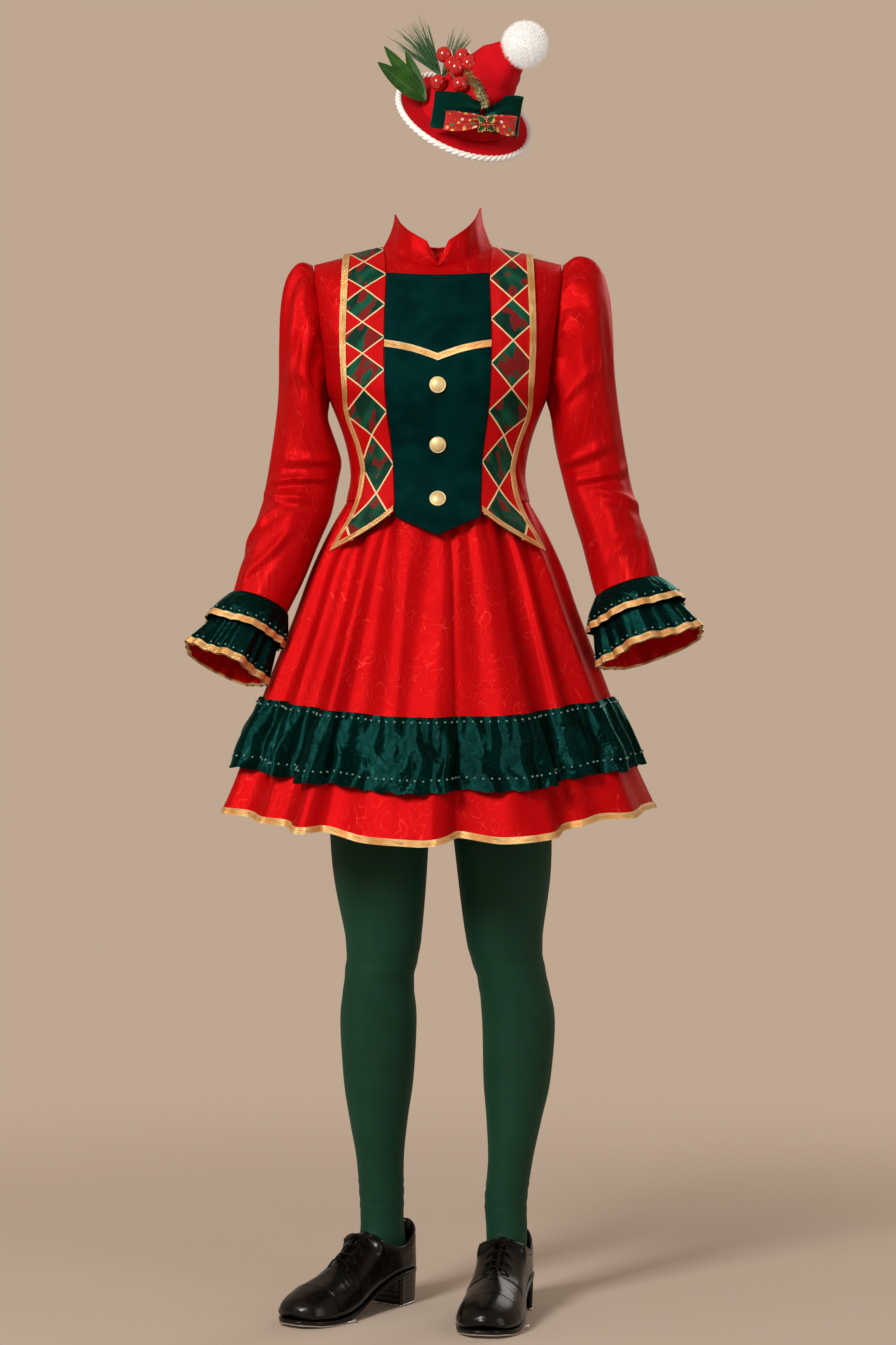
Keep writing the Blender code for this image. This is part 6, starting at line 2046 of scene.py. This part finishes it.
# Folds of the crown: from and to, in shares round and up, with height and width
CROWN_FOLDS = (
    (0.60, 0.50, 0.95, 0.62, 2.8, 7),
    (0.72, 0.30, 0.98, 0.38, 2.0, 7),
    (0.85, 0.66, 1.15, 0.80, 2.4, 6),
    (0.10, 0.40, 0.40, 0.55, 2.2, 8),
    (0.20, 0.70, 0.50, 0.82, 2.0, 6),
    (0.45, 0.20, 0.62, 0.50, 1.8, 8),
)


def make_crown():
    """The soft cone with the dents and creases of worn felt."""
    names = ("height", "x", "y", "radius")
    cage = np.stack([CROWN[name] for name in names], axis=1)
    fine = refined(cage, CROWN_ROWS)
    turn = around(112)
    height, x, y, radius = [fine[:, n : n + 1] for n in range(4)]
    grid = np.stack([x + radius * np.cos(turn), y + radius * np.sin(turn), height + 0 * turn], axis=2)
    normal = outward(grid, grid.mean(axis=1, keepdims=True), closed=True)
    relief = fold_relief(*grid.shape[:2], (300, 110), CROWN_FOLDS, closed=True)
    slow = unevenness(*grid.shape[:2], 1.0, 41, closed=True)
    up = np.linspace(0, 1, CROWN_ROWS)
    keep_ends = np.minimum(1, up * 6) * np.minimum(1, up[::-1] * 8)
    grid = grid + normal * ((0.6 * relief + slow) * keep_ends[:, None])[..., None]
    grid[0, :, 2] += GAP
    upper = smooth_share(up, 0.45, 1.0)[:, None]
    grid[..., 2] += upper * (15 - 0.55 * (grid[..., 0] - x))
    grid[..., 0] += 2 * upper
    tip = np.broadcast_to(CROWN_END, (1, len(turn), 3))
    outer = np.concatenate([grid, tip])
    inner = np.concatenate([grid - normal * (FELT, FELT, 0), tip - np.array((0, 0, FELT))])
    part = skin_part(on_hat(outer), on_hat(inner), closed=True, poles=(False, True))
    stand_in("hat_crown", part, "hat felt")


def random_directions(random, count):
    """Directions of length 1, evenly all round."""
    return unit(random.normal(size=(count, 3)))


def make_pompom():
    """A fluffy ball: thousands of fine tapered fibres round a soft core."""
    random = np.random.default_rng(7)
    out = random_directions(random, FIBRES)
    seat = unit(np.array(CROWN_TIP) - np.array(POMPOM_CENTRE))
    out = out[out @ seat < 0.9]
    lean = unit(out + 0.32 * random.normal(size=out.shape))
    length = (POMPOM_RADIUS - FIBRE_START) * random.uniform(0.8, 1.04, len(out))
    aside = unit(np.cross(lean, random_directions(random, len(out))))
    third = np.cross(lean, aside)
    frames = np.stack([aside * 0.55, third * 0.55, lean * length[:, None]], axis=1)
    blade = np.array([(1, 0, 0), (-0.5, 0.87, 0), (-0.5, -0.87, 0), (0.4, 0.1, 0.62), (0, 0, 1)])
    faces = [(0, 1, 4), (1, 2, 4), (2, 0, 4)]
    centres = on_hat(np.array(POMPOM_CENTRE) + out * FIBRE_START)
    blades = scattered(blade, faces, turned_to_hat(frames), centres)
    core = scattered(*ball(4), np.eye(3)[None] * (POMPOM_CORE - 1.5), on_hat([POMPOM_CENTRE]))
    stand_in("pompom", merged([blades, core]), "white fluff")


# Each loop's ribbon: how much wider it is than its solid, the share of its width that is left at the knot,
# and whether its upper edge stays level there
BOW_RIBBONS = {
    "green_left": (3, 0.6, 1.0),
    "green_right": (9, 0.36, 0.0),
    "red_left": (-4, 0.36, 0.0),
    "red_right": (-3, 0.36, 0.0),
}

# The turn that brings the bow level, and how far each ribbon's ends are raised
BOW_TURN = math.radians(7)
BOW_SHIFT = {"green": 6.0, "red": -3.0}


def make_bow(which):
    """A loop of ribbon, pinched where it meets the knot."""
    start, length, stand, swell, width = BOWS[which]
    wider, pinch, level = BOW_RIBBONS[which]
    width += wider
    columns, rows = 84, 23
    turn = around(columns)
    right = start + length / 2 * (1 - np.cos(turn))
    away = stand + swell * (1 + np.sin(turn))
    path = np.stack([right, away], axis=1)
    ahead = np.roll(path, -1, axis=0) - np.roll(path, 1, axis=0)
    inward = np.stack([ahead[:, 1], -ahead[:, 0]], axis=1) * math.copysign(1, length)
    inward /= np.linalg.norm(ahead, axis=1, keepdims=True)
    open_out = pinch + (1 - pinch) * smooth_share(np.sin(turn / 2), 0.0, 1.0)
    edge = np.linspace(-1, 1, rows)[:, None]
    pleat = 1.5 * (1.0 - open_out) * np.cos(3 * math.pi * edge) / 0.64
    curl = -0.9 * open_out * edge**4
    frame = bow_frame()
    grids = []
    for shift in (0.0, 0.7):
        line = path[None] + inward[None] * (shift + pleat + curl)[..., None]
        along = (edge * open_out + level * (1 - open_out)) * width / 2
        points = np.concatenate([line, along[..., None]], axis=2)
        first, last = points[..., 0].copy(), points[..., 2].copy()
        last += BOW_SHIFT[which.split("_")[0]] * smooth_share(abs(first), 5, 30)
        points[..., 0] = first * math.cos(BOW_TURN) - last * math.sin(BOW_TURN)
        points[..., 2] = first * math.sin(BOW_TURN) + last * math.cos(BOW_TURN)
        grids.append(on_hat(points @ frame + BOW_CENTRE))
    look = "bow satin" if which.startswith("green") else "spotted ribbon"
    piece = stand_in(f"hat_bow_{which}", skin_part(*grids, closed=True), look)


def leaf_part(origin, along, face, length, width, spines=0, bend=0.0, cup=0.15):
    """A leaf from its stalk on the hat: a midrib that bends, edges that rise, and spines if it has them."""
    along = unit(along)
    face = unit(face - along * (face @ along))
    side = np.cross(along, face)
    down = np.linspace(0, 1, 41)[:, None]
    across = np.linspace(-1, 1, 15)[None]
    shape = np.sin(math.pi * np.clip(down, 0.02, 0.985) ** 0.85) ** 0.75
    if spines:
        tooth = abs((down * spines) % 1 - 0.5) * 2
        shape = shape * (0.62 + 0.5 * tooth**1.4)
    half = width / 2 * shape
    rise = cup * width * abs(across) ** 1.6 * shape + bend * length * down**2
    grid = origin + along * (down * length)[..., None] + side * (across * half)[..., None]
    grid = grid + face * rise[..., None]
    points, faces, _ = skin_part(grid, grid - face * 0.6)
    run = (points - origin) @ along / length
    wide = (points - origin) @ side
    shape_at = np.interp(run, down[:, 0], half[:, 0])
    loops = [v for corners in faces for v in corners]
    places = np.stack([wide[loops] / np.maximum(shape_at[loops], 0.5), run[loops]], axis=1)
    return on_hat(points), faces, {"cloth": places}


def hat_directions():
    """Right, up and toward the viewer, in the hat's own frame."""
    right = unit(np.array(TO_VIEWER_RIGHT))
    up = np.array(TO_VIEWER_UP)
    up = unit(up - right * (up @ right))
    return right, up, np.cross(right, up)


def make_leaves():
    """Broad leaves at the crown's left, holly over the knot and tufts of pine needles behind."""
    right, up, toward = hat_directions()
    parts = []
    for number, (degrees, length, width, lean) in enumerate(BROAD_LEAVES):
        turn = math.radians(degrees)
        way = right * math.cos(turn) + up * math.sin(turn) + toward * lean
        origin = np.array(LEAVES_AT) + toward * (1.5 * number)
        parts.append(leaf_part(origin, way, toward, length, width, bend=0.1, cup=0.12))
    stand_in("hat_leaves", merged(parts), "laurel leaf")
    make_holly()
    make_needles(right, up, toward)


def make_holly():
    """Four spined leaves round three small red beads."""
    out = unit(np.array(BOW_OUT))
    side = np.array((1.0, 0.0, 0.0))
    along = np.cross(side, out)
    knot = np.array(BOW_CENTRE) + out * (HOLLY_STAND + 1)
    parts = []
    for degrees, length, lift in HOLLY_LEAVES:
        turn = math.radians(degrees)
        way = side * math.cos(turn) + along * math.sin(turn) + out * 0.1
        parts.append(leaf_part(knot + out * lift, way, out, length, 11, spines=4, bend=-0.08, cup=0.16))
    stand_in("hat_holly", merged(parts), "holly leaf")
    spots = [knot + out * 4 + side * x + along * y for x, y in ((-2.6, 1.5), (2.8, 1.2), (0.2, -3))]
    frames = np.broadcast_to(np.eye(3) * 2.5, (3, 3, 3))
    new_piece("holly_beads", scattered(*ball(3), frames, on_hat(np.array(spots))), "berry")


def make_needles(right, up, toward):
    """Long fine needles that fan out from two stems."""
    random = np.random.default_rng(11)
    parts = []
    origin = np.array(NEEDLES_AT)
    for number in range(NEEDLES):
        behind = number < NEEDLES_BEHIND
        low, high, reach = (104, 143, 32) if behind else (54, 82, 6)
        turn = math.radians(random.uniform(low, high))
        way = unit(right * math.cos(turn) + up * math.sin(turn) + toward * random.uniform(-0.2, 0.25))
        start = origin + right * 9 + way * random.uniform(0, reach) + toward * random.uniform(-2, 3)
        length = random.uniform(46, 68) if behind else random.uniform(56, 72)
        sag = up * -random.uniform(2, 9) + right * random.uniform(-4, 4)
        share = np.linspace(0, 1, 7)[:, None]
        path = start + way * length * share + sag * share**2
        radius = 0.5 * (1 - share[:, 0]) ** 0.5 + 0.1
        parts.append(cord_part(on_hat(path), (0.1, -1, 0.2), radius, 4))
    for degrees in (120, 134):
        turn = math.radians(degrees)
        way = right * math.cos(turn) + up * math.sin(turn)
        path = origin + right * 9 + way * np.linspace(0, 34, 12)[:, None]
        parts.append(cord_part(on_hat(path), (0.1, -1, 0.2), 1.3, 6))
    stand_in("hat_needles", merged(parts), "pine needle")


def make_berries():
    """Seven glossy berries with a small dimple each, on short stalks."""
    points, faces = ball(4)
    right, up, _ = hat_directions()
    middles = np.stack(list(BERRIES.values()), axis=1) + right * 4 - up * 1.5
    stalks = []
    random = np.random.default_rng(5)
    parts = []
    core = np.array(BERRY_CORE)
    for middle in middles:
        pole = unit(np.array((0.2, -1, 0.45)) + 0.35 * random.normal(size=3))
        dimple = bell(points @ pole, 1, 0.035)
        radius = BERRY_RADIUS * (1 - 0.12 * dimple)
        round_ = points * radius[:, None] + middle
        parts.append((on_hat(round_), faces.tolist(), {"cloth": np.zeros((faces.size, 2))}))
        path = core + (middle - core) * np.linspace(0.1, 0.9, 6)[:, None]
        stalks.append(cord_part(on_hat(path), (0.3, 1, 0.2), 0.8, 6))
    stand_in("hat_berries", merged(parts), "berry")
    new_piece("berry_stalks", merged(stalks), "pine needle")


def on_crown_front(across, high):
    """The point of the crown's front that the viewer sees this far right of and above the bow's knot."""
    right, up, toward = hat_directions()
    start = np.array(BOW_CENTRE) + right * across + up * high
    for depth in np.arange(70, -70, -0.5):
        point = start + toward * depth
        x, y, radius = [np.interp(point[2], CROWN["height"], CROWN[name]) for name in ("x", "y", "radius")]
        if math.hypot(point[0] - x, point[1] - y) < radius:
            return point + toward * 4.5
    return start


def make_tinsel():
    """A garland of gold and green foil blades between the berries and the bow."""
    random = np.random.default_rng(13)
    line = np.array([on_crown_front(*place) for place in TINSEL_LINE])
    path = refined(line, TINSEL)
    ahead = unit(np.gradient(path, axis=0))
    out = random_directions(random, TINSEL)
    out = unit(out - ahead * np.sum(out * ahead, axis=1, keepdims=True) + 0.3 * ahead)
    aside = unit(np.cross(out, ahead))
    length = random.uniform(6, 11, TINSEL)
    frames = np.stack([aside * 0.75, out * length[:, None], np.cross(aside, out) * 0.2], axis=1)
    blade = np.array([(1, 0.5, 0), (0, 0.5, 1), (-1, 0.5, 0), (0, 0.5, -1), (0, 0, 0), (0, 1, 0)])
    faces = [(n, (n + 1) % 4, 5) for n in range(4)] + [((n + 1) % 4, n, 4) for n in range(4)]
    frames = turned_to_hat(frames)
    places = on_hat(path)
    green = np.arange(TINSEL) % 3 == 0
    new_piece("hat_tinsel_green", scattered(blade, faces, frames[green], places[green]), "pine needle")
    gold = scattered(blade, faces, frames[~green], places[~green])
    wire = cord_part(on_hat(refined(line, 40)), (0, -1, 0.3), 0.8, 6)
    new_piece("hat_tinsel", merged([gold, wire]), "gold tinsel")


# Camera, light and floor
CAMERA_LENS = 83.9
CAMERA_PLACE = (0.0134, -4.2, -0.548)
FLOOR_RADIUS = 2.5
LAMPS = (
    ("key", (-1.9, -2.9, 1.3), (0, 0, -0.4), (0.9, 1.3), 118, (1.0, 0.97, 0.93)),
    ("fill", (2.6, -2.4, 0.1), (0, 0, -0.5), (1.0, 2.0), 14, (0.92, 0.96, 1.0)),
    ("rim", (1.6, 2.4, 1.2), (0, 0, -0.3), (1.2, 1.8), 20, (1.0, 0.97, 0.93)),
)
BACKDROP = (0.52, 0.385, 0.285)


def make_camera():
    """The photo's camera: level, in front, at hip height."""
    camera = placed("camera", bpy.data.cameras.new("camera"))
    camera.data.lens = CAMERA_LENS
    camera.data.sensor_width = 36
    camera.location = CAMERA_PLACE
    camera.rotation_euler = (math.pi / 2, 0, 0)
    bpy.context.scene.camera = camera


def make_light(name, place, aim, size, watts, colour):
    """A soft lamp, aimed at a point of the costume."""
    lamp = bpy.data.lights.new(name, "AREA")
    lamp.shape = "RECTANGLE"
    lamp.size, lamp.size_y = size
    lamp.energy = watts
    lamp.color = colour
    made = placed(name, lamp)
    made.location = place
    made.rotation_euler = (Vector(aim) - Vector(place)).to_track_quat("-Z", "Y").to_euler()


def make_stage():
    """A pale floor that fades into an even pale surround, and soft studio light."""
    bpy.context.scene.view_settings.view_transform = "Standard"
    world = bpy.data.worlds.new("studio")
    bpy.context.scene.world = world
    world.use_nodes = True
    sky = world.node_tree.nodes["Background"].inputs
    sky["Color"].default_value = (*BACKDROP, 1)
    seen = add(world.node_tree, "LightPath").outputs["Is Camera Ray"]
    world.node_tree.links.new(between(world.node_tree, seen, 0, 1, 0.62, 1.0), sky["Strength"])
    for lamp in LAMPS:
        make_light(*lamp)
    tree, shader = new_look("floor", 0.7)
    places = object_places(tree)
    mottle, colour = mottled(tree, places, 1.5, (0.60, 0.50, 0.41), (0.63, 0.53, 0.44))
    reach = add(tree, "VectorMath", {0: places}, operation="LENGTH").outputs["Value"]
    ends = {"Value": reach, "From Min": 0.3, "From Max": 2.3, "To Min": 1.0, "To Max": 0.0}
    fade = add(tree, "MapRange", ends, interpolation_type="SMOOTHSTEP").outputs[0]
    feed(tree, shader, colour, normal=bumped(tree, mottle["Fine"], 0.05, 0.002))
    tree.links.new(fade, shader["Alpha"])
    rim = circle(96) * FLOOR_RADIUS
    mesh = bpy.data.meshes.new("floor")
    points = [(0, 0, 0), *[(x, y, 0) for x, y in rim]]
    mesh.from_pydata(points, [], [(0, n + 1, (n + 1) % len(rim) + 1) for n in range(len(rim))])
    mesh.materials.append(bpy.data.materials["floor"])
    floor = placed("floor", mesh)
    floor.location = (0, 0, -SHOULDER_HEIGHT * MM - 0.0005)


def main():
    """Makes the camera, looks, stage and every piece."""
    make_camera()
    build_looks()
    make_stage()
    for name, face in (("front", -1), ("back", 1)):
        make_bodice(name, face)
        make_skirt(name, face)
    make_plastron()
    make_collar()
    make_tights_top()
    for side in SIDE:
        make_harlequin(side)
        make_sleeve(side)
        make_cuff(side)
        make_leg(side)
        make_upper(side)
        make_shoe_bottom(side)
        make_tongue(side)
        make_laces(side)
    make_brim()
    make_crown()
    make_pompom()
    for which in BOWS:
        make_bow(which)
    make_leaves()
    make_berries()
    make_tinsel()


main()
